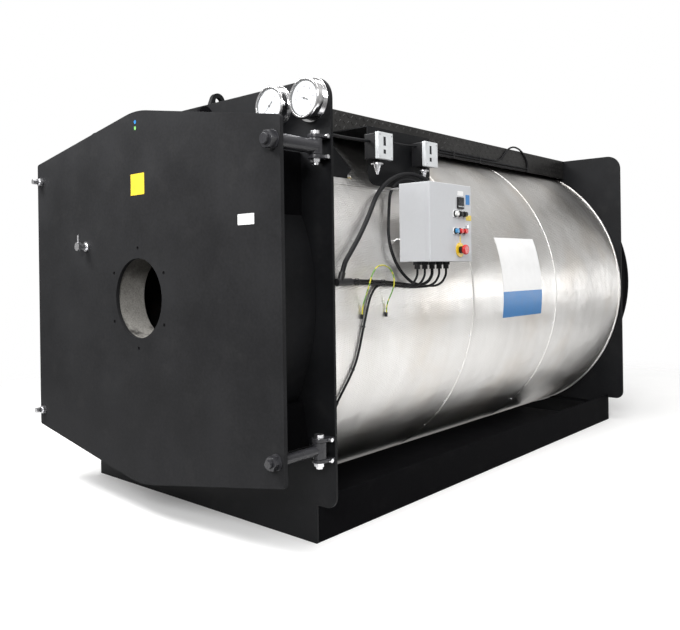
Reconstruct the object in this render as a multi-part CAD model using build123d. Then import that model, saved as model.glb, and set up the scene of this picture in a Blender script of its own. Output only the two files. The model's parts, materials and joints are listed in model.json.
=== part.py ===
from build123d import *
from math import cos, pi, radians, sin, sqrt, tan
import os

# Industrial boiler: a horizontal pressure shell between two upright end plates, with a hinged burner door.
# All lengths are millimetres. X runs across the boiler, Y from the door to the rear, Z up from the ground.

# End plates and length
plate_thickness = 12
plate_side_margin = 8
plate_top_margin = 11
plate_corner_radius = 80
plate_step_height = 138
plate_step_radius = 45
foot_inset = 94
body_length = 2676
ground_clearance = 33

# Pressure vessel
shell_radius = 690
shell_wall = 12
opening_lip = 7
tube_plate_thickness = 18
rear_tube_plate_inset = 60
furnace_wall = 14
furnace_rear_space = 352
furnace_end_thickness = 20
fire_tube_radius = 38
fire_tube_wall = 4
tube_shell_gap = 52
tube_row_gap = 39
tube_furnace_gap = 72
inner_tube_count = 14
outer_tube_count = 20
tube_stickout = 6
burner_axis_rise = 33

# Insulation and cladding
insulation_thickness = 111
cladding_sheet = 2
front_seam_distance = 950
rear_seam_distance = 1785
seam_bead_height = 3
seam_bead_width = 14
rim_bead_height = 6
rim_bead_width = 18

# Burner door
door_thickness = 15
door_face_distance = 247.5
door_side_overhang = 3
door_corner_share = 0.82466
door_apex_margin = 8.5
door_centre_rise = 4
door_apex_radius = 430
door_corner_radius = 12
burner_hole_radius = 158
throat_clearance = 4
burner_bolt_margin = 40
burner_bolt_hole_radius = 7
burner_bolt_count = 6
drum_seat_width = 80
drum_wall = 6
drum_end_gap = 2
refractory_thickness = 120
refractory_rim_width = 46
seal_width = 30
seal_depth = 18
seal_inset = 4
contact_gap = 0.3
upper_box_side_share = 0.8182
upper_box_top_share = 0.8721
lower_box_bottom_share = 0.8704
lower_box_top_share = 0.613
lower_box_bottom_side_share = 0.8464
lower_box_top_side_share = 0.812
door_lug_offset = 272
door_lug_distance = 120
door_lug_radius = 34
door_lug_hole_radius = 15
door_lug_thickness = 16
door_lug_hole_height = 22
door_lug_root = 12

# Door hinges
hinge_edge_inset = 33
hinge_pin_distance = 45
upper_hinge_drop = 78
lower_hinge_rise = 81
upper_bar_radius = 25
lower_bar_radius = 17
eye_radius = 25
eye_height = 56
bar_shank_radius = 18
lower_shank_radius = 14
shank_hole_clearance = 1
shank_projection = 12
nut_height = 26
nut_across_flats = 54
lower_nut_across_flats = 44
nut_chamfer_share = 0.07
washer_radius = 33
washer_thickness = 4
hinge_pin_radius = 12
pin_running_clearance = 0.05
lug_clearance = 1.5
lug_thickness = 12
lug_inner_end = 28
lug_outer_end = 31
lug_front_radius = 27
pin_nut_radius = 17
pin_nut_height = 13
pin_overhang = 9
lug_stud_radius = 7
lug_stud_length = 9

# Closing bolts at the free edge of the door
closing_edge_inset = 39
upper_closing_drop = 82
lower_closing_rise = 70
closing_bolt_radius = 12
closing_bolt_projection = 44
closing_nut_across_flats = 34
closing_nut_height = 16
anchor_radius = 30
anchor_length = 40
anchor_chamfer = 3

# Sight glass on the door
sight_offset = 380
sight_rise = 214
sight_tube_radius = 14
sight_tube_length = 34
sight_flange_radius = 21
sight_flange_thickness = 8
sight_cap_radius = 18
sight_cap_length = 14
sight_lever_radius = 4
sight_lever_height = 30

# Walkway over the shell
walkway_half_width = 444
walkway_sheet = 4
skirt_clearance = 22.7

# Base frame
beam_height = 157
beam_web = 8
beam_flange_width = 60
deck_step_drop = 5
deck_sheet = 3
deck_edge_inset = 47
deck_inner_clearance = 3
deck_length = 2095
deck_lip_depth = 26
bearer_width = 50
bearer_thickness = 8
bearer_count = 4
bearer_end_inset = 120
earth_plate_length = 50
earth_plate_width = 25
earth_stud_radius = 7
earth_stud_height = 50
earth_stud_edge_inset = 30

# Lifting lugs on the shell
lifting_lug_distance = 163
lifting_hole_rise = 58
lifting_lug_radius = 36
lifting_hole_radius = 17
lifting_lug_thickness = 20
lifting_lug_half_base = 62
lug_slot_clearance = 1

# Flow and return nozzles on top of the shell
flow_share = 0.31016
return_share = 0.7586
nozzle_pipe_radius = 70
nozzle_pipe_wall = 5
nozzle_face_rise = 96
nozzle_flange_radius = 125
nozzle_flange_thickness = 20
nozzle_bolt_circle_radius = 105
nozzle_bolt_count = 8
nozzle_bolt_hole_radius = 9
nozzle_hole_clearance = 1

# Rear smoke box and flue outlet
smoke_box_depth = 225
smoke_box_margin = 65
smoke_box_wall = 6
rear_cover_thickness = 8
rear_cover_overhang = 12
flue_radius = 200
flue_wall = 4
flue_length = 120
cleaning_cover_half_width = 92
cleaning_cover_half_height = 60
cleaning_cover_thickness = 12
cleaning_cover_gap = 260
cleaning_stud_radius = 8
cleaning_stud_height = 14
cleaning_stud_inset = 18

# Dial instruments on the front plate
gauge_top_drop = 76
gauge_edge_inset = 87
gauge_spacing = 177
gauge_flange_radius = 79
gauge_flange_thickness = 5
gauge_case_radius = 69
gauge_case_depth = 28
gauge_bezel_radius = 73
gauge_bezel_depth = 14
gauge_bezel_lip = 9
gauge_bezel_chamfer = 3.5
gauge_dial_recess = 7

# Gussets and their flashings behind the front plate
gusset_edge_inset = 179
gusset_thickness = 10
gusset_length = 302
gusset_nose = 26
gusset_top_drop = 63
gusset_tip_rise = 530
flashing_low_length = 332
flashing_bend_length = 352
flashing_high_length = 426
flashing_bottom_rise = 461
flashing_bend_rise = 564
flashing_top_rise = 676
flashing_sheet = 2

# Switch panel and pressure switches
panel_standoff = 15.4
panel_sheet = 4
panel_start = 380
panel_end = 812
panel_top_drop = 27
panel_height = 200
panel_corner_radius = 52
panel_flange_drop = 4
switch_starts = (344, 660)
switch_width = 92
switch_height = 104
switch_rise = 93
switch_body_depth = 55
switch_gap = 12
switch_cover_thickness = 16
switch_cover_margin = 2
switch_foot_inset = 28
switch_neck_radius = 15
switch_neck_height = 12
switch_flange_radius = 24
switch_flange_thickness = 5
switch_cone_height = 38
switch_cone_tip_radius = 4

# Control enclosure
enclosure_back_inset = 5
enclosure_depth = 142
enclosure_start = 406
enclosure_width = 296
enclosure_rise = 161
enclosure_height = 304
enclosure_sheet = 2
enclosure_door_depth = 18
enclosure_door_gap = 0.5
enclosure_corner_radius = 3
bracket_width = 30
bracket_thickness = 4
bracket_side_inset = 40
bracket_top_drop = 11
bracket_bottom_rise = 33
bracket_foot_length = 60

# Controls on the enclosure door, placed as shares of its width and height
display_side = 46
display_depth = 6
display_chamfer = 2
display_place_shares = (0.716, 0.763)
element_plate_width = 26
element_plate_depth = 3
upper_row_height_share = 0.618
lower_row_height_share = 0.395
row_place_shares = (0.581, 0.689, 0.797)
element_radius = 12.5
element_base_depth = 6
element_cap_radius = 11
element_cap_depth = 12
stop_place_shares = (0.696, 0.151)
stop_disc_radius = 29
stop_disc_depth = 4
stop_stem_radius = 14
stop_stem_depth = 16
stop_head_radius = 20
stop_head_depth = 14
lock_place_shares = (0.885, 0.461)
lock_radius = 8
lock_depth = 6

# Cable glands under the enclosure
gland_count = 5
gland_first = 28
gland_pitch = 50
gland_inset = 62
gland_nut_radius = 15
gland_nut_height = 12
gland_body_radius = 11
gland_body_height = 16

# Cables from the enclosure's glands, which run forward as a bundle beside the cladding
cable_radius = 4.5
gland_cable_steps = ((0, 0, -24), (-8, -14, -30), (-12, -30, -15))
bundle_entry_step = 70
bundle_front_rise = 93
bundle_sink = 37
bundle_sink_length = 550
bundle_inner_clearance = 8.4
bundle_pitch = 10.6
bundle_step = 85
boot_start = 18
boot_end = 94
boot_radius = 13.4
tie_bore_radius = 12.7
tie_width = 5
tie_distances = (128, 205, 279)

# Sensor cable: it leaves the bundle and runs down the cladding to its sleeve. Each point is a distance from
# the front face, an angle above the shell's axis and a clearance off the cladding
sensor_gland = 3
sensor_leave_distance = 270
sensor_run = (
    (236, 4.7, 7.4), (212, 3.0, 6.8), (192, 0.4, 6.8), (176, -3.2, 6.8), (163, -7.1, 6.8), (157, -10.7, 6.8),
    (150, -14.4, 6.8), (134, -18.3, 6.8), (114, -22.1, 6.8), (103, -25.4, 6.8),
)
sensor_sleeve_radius = 6.3
sensor_sleeve_length = 26
clip_bore_radius = 4.8
clip_runs = (3, 6)

# Conduits that arch up in front of the switch panel and end in bosses on the cladding behind the enclosure
front_conduit_radius = 9
conduit_gland_reach = 36
conduit_gland_radius = 12
front_conduit_run = (
    (60, 11.2, 27.9), (109, 14.3, 28.7), (164, 17.6, 28.8), (226, 21.5, 28.9), (286, 25.5, 30.3),
    (341, 29.1, 30.1), (394, 32.0, 33.0), (448, 34.4, 44.4), (506, 36.1, 57.3), (562, 36.9, 70.6),
    (614, 36.6, 85.4), (666, 35.1, 93.4), (718, 33.0, 86.3), (754, 31.8, 64), (766, 31.4, 40),
    (766, 31.4, 16),
)
gland_conduit_radius = 6
conduit_gland = 2
gland_conduit_steps = ((0, 0, -24), (-6, -18, -26), (-14, -32, -14), (-16, -34, 10), (-10, -30, 24))
gland_conduit_run = (
    (388, 9.1, 18.4), (363, 11.7, 20.1), (351, 15.4, 19.7), (363, 19.5, 19.3), (399, 24.2, 20.1),
    (438, 28.4, 20.3), (476, 32.1, 23.3), (514, 34.6, 37.5), (554, 35.7, 54.0), (592, 35.4, 68.3),
    (628, 34.2, 77.3), (666, 32.5, 75.6), (696, 31.6, 58), (707, 31.4, 36), (707, 31.4, 16),
)
seat_gap = 0.3
conduit_boss_margin = 4

# Lines beside the walkway's skirt and between the switches
skirt_line_radius = 5
skirt_line_rises = (6, 18.5, 31)
skirt_line_gap = 0.3
skirt_block_length = 26
skirt_block_depth = 13
skirt_block_drop = 1
skirt_block_height = 40
skirt_block_low_height = 26
skirt_lines_start = 816
skirt_lines_end = 2150
skirt_clip_distances = (1080, 1340, 1600)
skirt_clip_width = 8
skirt_clip_reach = 1.2
hook_run = (
    (1800, 31), (1852, 50), (1893, 85), (1935, 117), (1995, 133), (2055, 128), (2105, 110), (2145, 78),
    (2163, 50),
)
front_line_radius = 6
front_line_rise = 72
front_line_sags = (0, 3, 4, 3, 0)
link_radius = 4
link_rise = 88
link_sags = (0, 4, 5.5, 4, 0)
line_inset = 35

# Earth wire: a loop over the bundle between two sleeves on the cladding
earth_wire_radius = 2.5
earth_sleeve_radius = 4.9
earth_sleeve_length = 16
earth_wire_run = (
    (160, -2.0, 5.3), (161, -0.4, 5.6), (163, 1.2, 11), (167, 3.2, 22), (176, 5.4, 30), (196, 8.0, 32),
    (232, 10.1, 31), (275, 10.5, 30), (312, 9.5, 30), (328, 7.5, 31), (325, 5.3, 31), (315, 3.2, 24),
    (307, 1.2, 12), (304, -0.4, 5.6), (303, -2.0, 5.3),
)

# An arc of a cable takes this share of the shorter run beside it
arc_share = 0.45

# Cutting shapes run past what they cut by this much
overrun = 6

# Derived sizes of the shell and its cladding
cladding_inner_radius = shell_radius + insulation_thickness
cladding_radius = cladding_inner_radius + cladding_sheet
bead_radius = cladding_radius + rim_bead_height
shell_axis_height = ground_clearance + cladding_radius
burner_axis_height = shell_axis_height + burner_axis_rise
vessel_opening_radius = shell_radius - burner_axis_rise - opening_lip
outer_tube_ring_radius = shell_radius - shell_wall - burner_axis_rise - tube_shell_gap - fire_tube_radius
inner_tube_ring_radius = outer_tube_ring_radius - 2 * fire_tube_radius - tube_row_gap
furnace_radius = inner_tube_ring_radius - fire_tube_radius - tube_furnace_gap

# Derived places along the length
front_face = -plate_thickness / 2
front_back = plate_thickness / 2
rear_front = front_face + body_length
rear_back = rear_front + plate_thickness
door_front = front_face - door_face_distance
door_back = door_front + door_thickness
drum_end = front_face - drum_end_gap
hinge_y = front_face - hinge_pin_distance
tube_plate_end = rear_front - rear_tube_plate_inset
furnace_end = tube_plate_end - tube_plate_thickness - furnace_rear_space
smoke_box_end = rear_back + smoke_box_depth
rear_cover_end = smoke_box_end + rear_cover_thickness
flue_end = rear_cover_end + flue_length

# Derived sizes and heights of the end plates and what stands on them
plate_half_width = cladding_radius + plate_side_margin
plate_height = shell_axis_height + cladding_radius + plate_top_margin
foot_half_width = plate_half_width - foot_inset
deck_height = plate_step_height - deck_step_drop
deck_outer_half_width = foot_half_width - deck_edge_inset
walkway_skirt_foot = shell_axis_height + sqrt(bead_radius ** 2 - walkway_half_width ** 2) + skirt_clearance
lifting_hole_height = plate_height + lifting_hole_rise
nozzle_face_height = plate_height + nozzle_face_rise
gauge_height = plate_height - gauge_top_drop
right_gauge_offset = plate_half_width - gauge_edge_inset
left_gauge_offset = right_gauge_offset - gauge_spacing
gusset_offset = plate_half_width - gusset_edge_inset
smoke_box_radius = shell_radius + smoke_box_margin

# Derived sizes of the door and its fastenings
drum_radius = vessel_opening_radius + drum_seat_width
seal_outer_radius = drum_radius - drum_wall - seal_inset
burner_throat_radius = burner_hole_radius + throat_clearance
burner_bolt_circle_radius = burner_hole_radius + burner_bolt_margin
door_half_width = plate_half_width + door_side_overhang
door_corner_height = drum_radius * door_corner_share
door_apex_height = drum_radius + door_apex_margin
door_centre_height = burner_axis_height + door_centre_rise
hinge_offset = plate_half_width - hinge_edge_inset
upper_hinge_height = door_centre_height + door_corner_height - upper_hinge_drop
lower_hinge_height = door_centre_height - door_corner_height + lower_hinge_rise
closing_offset = door_half_width - closing_edge_inset
upper_closing_height = door_centre_height + door_corner_height - upper_closing_drop
lower_closing_height = door_centre_height - door_corner_height + lower_closing_rise
sight_height = burner_axis_height + sight_rise

# Derived places of the switch panel and the enclosure
panel_top_height = walkway_skirt_foot - panel_top_drop
panel_bottom_height = panel_top_height - panel_height
panel_offset = panel_standoff + sqrt(cladding_radius ** 2 - (panel_bottom_height - shell_axis_height) ** 2)
switch_bottom_height = panel_bottom_height + switch_rise
enclosure_back_offset = cladding_radius - enclosure_back_inset
enclosure_front_offset = enclosure_back_offset + enclosure_depth
enclosure_bottom_height = shell_axis_height + enclosure_rise
enclosure_top_height = enclosure_bottom_height + enclosure_height
enclosure_front_edge = front_face + enclosure_start
enclosure_rear_edge = enclosure_front_edge + enclosure_width


def facing_front(y):
    """A sketch plane across the boiler: local x is X and local y is Z."""
    return Plane(origin=(0, y, 0), x_dir=(1, 0, 0), z_dir=(0, -1, 0))


def facing_side(x):
    """A sketch plane along the boiler: local x is Y and local y is Z."""
    return Plane(origin=(x, 0, 0), x_dir=(0, 1, 0), z_dir=(1, 0, 0))


def across(sketch, start, end):
    """Extrude a sketch drawn in X and Z from one Y to another."""
    return extrude(facing_front(end) * sketch, amount=end - start)


def sideways(sketch, start, end):
    """Extrude a sketch drawn in Y and Z from one X to another."""
    return extrude(facing_side(start) * sketch, amount=end - start)


def upward(sketch, start, end):
    """Extrude a sketch drawn in X and Y from one Z to another."""
    return extrude(Plane.XY.offset(start) * sketch, amount=end - start)


def outline(points):
    return make_face(Polyline(*points, close=True))


def disc(x, z, radius):
    return Pos(x, z) * Circle(radius)


def ring_across(x, z, outer, inner, start, end):
    return across(disc(x, z, outer) - disc(x, z, inner), start, end)


def rod_across(x, z, radius, start, end):
    return across(disc(x, z, radius), start, end)


def hexagon(across_flats):
    return RegularPolygon(radius=across_flats / 2, side_count=6, major_radius=False)


def box_between(low, high):
    """A block from its lowest corner to its highest corner."""
    size = [b - a for a, b in zip(low, high)]
    centre = [(a + b) / 2 for a, b in zip(low, high)]
    return Pos(*centre) * Box(*size)


def mirrored(shape):
    return mirror(shape, about=Plane.YZ)


def save(name, shape):
    export_step(shape, f"parts/{name}.step")


def end_plate_outline():
    half = plate_half_width
    foot = foot_half_width
    face = outline([
        (-foot, 0), (foot, 0), (foot, plate_step_height), (half, plate_step_height),
        (half, plate_height), (-half, plate_height), (-half, plate_step_height), (-foot, plate_step_height),
    ])
    top_corners = face.vertices().sort_by(Axis.Y)[-2:]
    face = fillet(top_corners, plate_corner_radius)
    step_corners = face.vertices().filter_by(
        lambda v: abs(v.Y - plate_step_height) < contact_gap and abs(v.X) > foot + overrun)
    return fillet(step_corners, plate_step_radius)


def end_plate(start):
    """An upright plate with the opening of the pressure vessel in it."""
    sketch = end_plate_outline() - disc(0, burner_axis_height, vessel_opening_radius)
    return across(sketch, start, start + plate_thickness)


def base_beam(side):
    """A long side beam: an upright web with a flange on the ground, between the end plates."""
    outer = foot_half_width
    section = outline([
        (outer, 0), (outer, beam_height), (outer - beam_web, beam_height), (outer - beam_web, beam_web),
        (outer - beam_flange_width, beam_web), (outer - beam_flange_width, 0),
    ])
    beam = across(section, front_back, rear_front)
    return beam if side > 0 else mirrored(beam)


def bearer_places():
    span = rear_front - front_back - 2 * bearer_end_inset
    return [front_back + bearer_end_inset + span * i / (bearer_count - 1) for i in range(bearer_count)]


def cladding_half_chord(height):
    """Half of the width of the cladding and its rim bead at a height below its axis."""
    return sqrt(bead_radius ** 2 - (shell_axis_height - height) ** 2)


def base_bearers():
    """Flat bars from each beam's web inwards, which carry the deck."""
    top = deck_height - deck_sheet
    inner = cladding_half_chord(top) + deck_inner_clearance
    bars = []
    for y in bearer_places():
        bar = box_between(
            (inner, y - bearer_width / 2, top - bearer_thickness),
            (foot_half_width - beam_web, y + bearer_width / 2, top))
        bars += [bar, mirrored(bar)]
    return Compound(children=bars)


def deck_strip(side):
    """A deck sheet beside the cladding, with a lip bent down along its outer edge."""
    inner = cladding_half_chord(deck_height) + deck_inner_clearance
    outer = deck_outer_half_width
    section = outline([
        (inner, deck_height), (outer, deck_height), (outer, deck_height - deck_lip_depth),
        (outer - deck_sheet, deck_height - deck_lip_depth), (outer - deck_sheet, deck_height - deck_sheet),
        (inner, deck_height - deck_sheet),
    ])
    strip = across(section, front_back, front_back + deck_length)
    lip_notches = [
        box_between(
            (outer - deck_sheet - overrun, y - bearer_width / 2, deck_height - deck_lip_depth - overrun),
            (outer + overrun, y + bearer_width / 2, deck_height - deck_sheet))
        for y in bearer_places() if y < front_back + deck_length
    ]
    for notch in lip_notches:
        strip -= notch
    return strip if side > 0 else mirrored(strip)


def base_deck():
    return Compound(children=[deck_strip(1), deck_strip(-1)])


def nozzle_places():
    return [front_face + body_length * share for share in (flow_share, return_share)]


def lifting_places():
    return [front_face + lifting_lug_distance, rear_back - lifting_lug_distance]


def top_cutters(clearance_low):
    """The shapes that pass up through insulation, cladding and walkway: nozzles and lifting lugs."""
    cutters = []
    for y in nozzle_places():
        hole = Pos(0, y) * Circle(nozzle_pipe_radius + nozzle_hole_clearance)
        cutters.append(upward(hole, clearance_low, plate_height + overrun))
    half_thickness = lifting_lug_thickness / 2 + lug_slot_clearance
    half_length = lifting_lug_half_base + lug_slot_clearance
    for y in lifting_places():
        cutters.append(box_between(
            (-half_thickness, y - half_length, clearance_low),
            (half_thickness, y + half_length, plate_height + overrun)))
    return cutters


def pressure_shell():
    """The round water jacket between the end plates, open under each nozzle."""
    shell = ring_across(0, shell_axis_height, shell_radius, shell_radius - shell_wall, front_back, rear_front)
    bore = nozzle_pipe_radius - nozzle_pipe_wall
    for y in nozzle_places():
        shell -= upward(Pos(0, y) * Circle(bore), shell_axis_height, plate_height)
    return shell


def tube_ring(ring_radius, count):
    """Tube centres evenly spaced on a circle round the furnace."""
    step = 2 * pi / count
    return [(ring_radius * sin(step * (i + 0.5)), burner_axis_height + ring_radius * cos(step * (i + 0.5)))
            for i in range(count)]


def fire_tube_places():
    inner = tube_ring(inner_tube_ring_radius, inner_tube_count)
    return inner + tube_ring(outer_tube_ring_radius, outer_tube_count)


def front_tube_plate():
    """The disc that closes the front of the shell, with the furnace mouth and the fire tube holes."""
    sketch = disc(0, shell_axis_height, shell_radius - shell_wall)
    sketch -= disc(0, burner_axis_height, furnace_radius)
    for x, z in fire_tube_places():
        sketch -= disc(x, z, fire_tube_radius)
    return across(sketch, front_back, front_back + tube_plate_thickness)


def rear_tube_plate():
    sketch = disc(0, shell_axis_height, shell_radius - shell_wall)
    for x, z in fire_tube_places():
        sketch -= disc(x, z, fire_tube_radius)
    return across(sketch, tube_plate_end - tube_plate_thickness, tube_plate_end)


def furnace_tube():
    """The combustion chamber's wall, from the front tube plate to its end plate."""
    start = front_back - tube_stickout
    end = furnace_end - furnace_end_thickness
    return ring_across(0, burner_axis_height, furnace_radius, furnace_radius - furnace_wall, start, end)


def furnace_end_plate():
    """The round plate that closes the combustion chamber at the rear."""
    return rod_across(0, burner_axis_height, furnace_radius, furnace_end - furnace_end_thickness, furnace_end)


def fire_tubes():
    start = front_back - tube_stickout
    end = tube_plate_end + tube_stickout
    inner = fire_tube_radius - fire_tube_wall
    return Compound(children=[
        ring_across(x, z, fire_tube_radius, inner, start, end) for x, z in fire_tube_places()])


def insulation():
    """The mineral wool blanket between shell and cladding."""
    blanket = ring_across(0, shell_axis_height, cladding_inner_radius, shell_radius, front_back, rear_front)
    for cutter in top_cutters(shell_axis_height):
        blanket -= cutter
    for slot in gusset_slots():
        blanket -= slot
    return blanket


def gusset_slots():
    """Slots in cladding and insulation where the two gussets pass through to the shell."""
    start = gusset_offset - gusset_thickness / 2 - lug_slot_clearance
    end = gusset_offset + gusset_thickness / 2 + lug_slot_clearance
    slot = box_between(
        (start, front_face, shell_axis_height),
        (end, front_back + gusset_length + lug_slot_clearance, shell_axis_height + cladding_radius))
    return [slot, mirrored(slot)]


def cladding_sheet_ring(start, end, bead_height, bead_width):
    """One wrap of sheet with a rolled bead along its rear edge."""
    ring = ring_across(0, shell_axis_height, cladding_radius, cladding_inner_radius, start, end)
    bead_middle = end - bead_width / 2
    profile = facing_side(0) * Pos(bead_middle, shell_axis_height + cladding_radius) * Ellipse(
        bead_width / 2, bead_height)
    bead = revolve(profile, Axis((0, 0, shell_axis_height), (0, 1, 0)))
    bead -= rod_across(0, shell_axis_height, cladding_radius, start, end)
    ring += bead
    for cutter in top_cutters(shell_axis_height):
        ring -= cutter
    for slot in gusset_slots():
        ring -= slot
    return ring


def walkway_cover():
    """A folded tread plate over the shell, with its skirts down to the cladding."""
    half = walkway_half_width
    foot = walkway_skirt_foot
    section = outline([
        (-half, foot), (-half, plate_height), (half, plate_height), (half, foot), (half - walkway_sheet, foot),
        (half - walkway_sheet, plate_height - walkway_sheet), (walkway_sheet - half, plate_height - walkway_sheet),
        (walkway_sheet - half, foot),
    ])
    cover = across(section, front_back, rear_front)
    for cutter in top_cutters(shell_axis_height):
        cover -= cutter
    return cover


def lifting_lugs():
    """Eye plates welded to the top of the shell, standing up through the walkway."""
    foot = shell_axis_height + shell_radius
    lugs = []
    for y in lifting_places():
        base = y + lifting_lug_half_base
        blank = make_hull(
            (Pos(y, lifting_hole_height) * Circle(lifting_lug_radius)).edges()
            + outline([(y - lifting_lug_half_base, foot), (base, foot), (base, plate_height),
                       (y - lifting_lug_half_base, plate_height)]).edges())
        plate = sideways(
            blank - Pos(y, lifting_hole_height) * Circle(lifting_hole_radius),
            -lifting_lug_thickness / 2, lifting_lug_thickness / 2)
        plate -= rod_across(0, shell_axis_height, shell_radius, y - lifting_lug_half_base - overrun,
                            y + lifting_lug_half_base + overrun)
        lugs.append(plate)
    return Compound(children=lugs)


def nozzle(y):
    """A pipe stub with a welding flange, standing on the shell."""
    outer = Pos(0, y) * Circle(nozzle_pipe_radius)
    bore = Pos(0, y) * Circle(nozzle_pipe_radius - nozzle_pipe_wall)
    stub = upward(outer, shell_axis_height, nozzle_face_height)
    stub -= rod_across(0, shell_axis_height, shell_radius, y - nozzle_flange_radius, y + nozzle_flange_radius)
    flange = Pos(0, y) * Circle(nozzle_flange_radius)
    for place in PolarLocations(nozzle_bolt_circle_radius, nozzle_bolt_count, start_angle=180 / nozzle_bolt_count):
        flange -= Pos(0, y) * place * Circle(nozzle_bolt_hole_radius)
    stub += upward(flange, nozzle_face_height - nozzle_flange_thickness, nozzle_face_height)
    return stub - upward(bore, shell_axis_height, nozzle_face_height + overrun)


def gussets():
    """Stiffening plates between the front plate and the shell, one on each side, with a sloping free edge."""
    tip = front_back + gusset_length
    foot = shell_axis_height
    tip_height = shell_axis_height + gusset_tip_rise
    face = outline([
        (front_back, foot), (tip - gusset_nose, foot), (tip - gusset_nose, tip_height - gusset_nose),
        (tip, tip_height), (front_back, plate_height - gusset_top_drop),
    ])
    plate = sideways(face, gusset_offset - gusset_thickness / 2, gusset_offset + gusset_thickness / 2)
    plate -= rod_across(0, shell_axis_height, shell_radius, front_face, rear_front)
    return Compound(children=[plate, mirrored(plate)])


def gusset_flashing():
    """A patch of sheet on the cladding round a gusset, with a slanting rear edge."""
    bottom = shell_axis_height + flashing_bottom_rise
    top = shell_axis_height + flashing_top_rise
    low_corner = (front_back + flashing_low_length, bottom)
    bend = (front_back + flashing_bend_length, shell_axis_height + flashing_bend_rise)
    high_corner = (front_back + flashing_high_length, top)
    patch = make_face([
        Line((front_back, bottom), low_corner), ThreePointArc(low_corner, bend, high_corner),
        Line(high_corner, (front_back, top)), Line((front_back, top), (front_back, bottom))])
    prism = sideways(patch, 0, plate_half_width)
    prism &= ring_across(0, shell_axis_height, cladding_radius + flashing_sheet, cladding_radius,
                         front_back, rear_front)
    for slot in gusset_slots():
        prism -= slot
    return prism


def gusset_flashings():
    patch = gusset_flashing()
    return Compound(children=patch.solids() + mirrored(patch).solids())


def rear_smoke_box():
    """The round hood behind the rear plate."""
    return ring_across(0, burner_axis_height, smoke_box_radius, smoke_box_radius - smoke_box_wall,
                       rear_back, smoke_box_end)


def rear_cover():
    sketch = disc(0, burner_axis_height, smoke_box_radius + rear_cover_overhang)
    sketch -= disc(0, burner_axis_height, flue_radius - flue_wall)
    return across(sketch, smoke_box_end, rear_cover_end)


def flue_collar():
    return ring_across(0, burner_axis_height, flue_radius, flue_radius - flue_wall, rear_cover_end, flue_end)


def cleaning_cover():
    """A small bolted soot door below the flue outlet."""
    middle = burner_axis_height - flue_radius - cleaning_cover_gap - cleaning_cover_half_height
    face = rear_cover_end + cleaning_cover_thickness
    sketch = Pos(0, middle) * RectangleRounded(
        cleaning_cover_half_width * 2, cleaning_cover_half_height * 2, cleaning_stud_inset)
    cover = across(sketch, rear_cover_end, face)
    x_step = cleaning_cover_half_width - cleaning_stud_inset
    z_step = cleaning_cover_half_height - cleaning_stud_inset
    for x in (-x_step, x_step):
        for z in (-z_step, z_step):
            cover += rod_across(x, middle + z, cleaning_stud_radius, face, face + cleaning_stud_height)
    return cover


def gauge(offset):
    """A dial instrument: back flange, case and a stepped bezel round a recessed dial."""
    z = gauge_height
    flange_front = front_face - gauge_flange_thickness
    case_front = flange_front - gauge_case_depth
    bezel_front = case_front - gauge_bezel_depth
    body = rod_across(offset, z, gauge_flange_radius, flange_front, front_face)
    body += rod_across(offset, z, gauge_case_radius, case_front, flange_front)
    body += rod_across(offset, z, gauge_bezel_radius, bezel_front, case_front)
    body -= rod_across(offset, z, gauge_bezel_radius - gauge_bezel_lip, bezel_front - overrun,
                       bezel_front + gauge_dial_recess)
    rim = body.edges().filter_by(GeomType.CIRCLE).filter_by(
        lambda e: abs(e.radius - gauge_bezel_radius) < contact_gap).group_by(Axis.Y)[0]
    return chamfer(rim, gauge_bezel_chamfer)


def door_outline():
    half = door_half_width
    side = door_corner_height
    apex = door_apex_height
    face = outline([(half, side), (0, apex), (-half, side), (-half, -side), (0, -apex), (half, -side)])
    apexes = face.vertices().filter_by(lambda v: abs(v.X) < contact_gap)
    face = fillet(apexes, door_apex_radius)
    corners = face.vertices().filter_by(lambda v: abs(v.X) > half - contact_gap)
    return Pos(0, door_centre_height) * fillet(corners, door_corner_radius)


def burner_bolt_places():
    return [
        (burner_bolt_circle_radius * sin(2 * pi * i / burner_bolt_count),
         burner_axis_height + burner_bolt_circle_radius * cos(2 * pi * i / burner_bolt_count))
        for i in range(burner_bolt_count)]


def hinge_bar_places():
    """Height, bar radius, shank radius and nut size of each hinge."""
    return [
        (upper_hinge_height, upper_bar_radius, bar_shank_radius, nut_across_flats),
        (lower_hinge_height, lower_bar_radius, lower_shank_radius, lower_nut_across_flats),
    ]


def closing_heights():
    return [upper_closing_height, lower_closing_height]


def door_plate():
    """The hexagonal door plate with the burner hole, its bolt holes and the holes for hinge bars and bolts."""
    sketch = door_outline() - disc(0, burner_axis_height, burner_hole_radius)
    for x, z in burner_bolt_places():
        sketch -= disc(x, z, burner_bolt_hole_radius)
    for z, _, shank, _ in hinge_bar_places():
        sketch -= disc(hinge_offset, z, shank + shank_hole_clearance)
    for z in closing_heights():
        sketch -= disc(-closing_offset, z, closing_bolt_radius + shank_hole_clearance)
    return across(sketch, door_front, door_back)


def door_drum():
    return ring_across(0, burner_axis_height, drum_radius, drum_radius - drum_wall, door_back, drum_end)


def door_refractory():
    """The fire-proof lining: a thick disc with the burner throat and a rim that backs the seal."""
    outer = drum_radius - drum_wall
    disc_end = door_back + refractory_thickness
    seal_start = front_face - contact_gap - seal_depth
    lining = ring_across(0, burner_axis_height, outer, burner_throat_radius, door_back, disc_end)
    return lining + ring_across(0, burner_axis_height, outer, outer - refractory_rim_width, disc_end, seal_start)


def door_seal():
    """The rope seal that meets the front plate round the vessel opening."""
    end = front_face - contact_gap
    ring = ring_across(0, burner_axis_height, seal_outer_radius, seal_outer_radius - seal_width,
                       end - seal_depth, end)
    return ring


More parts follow.
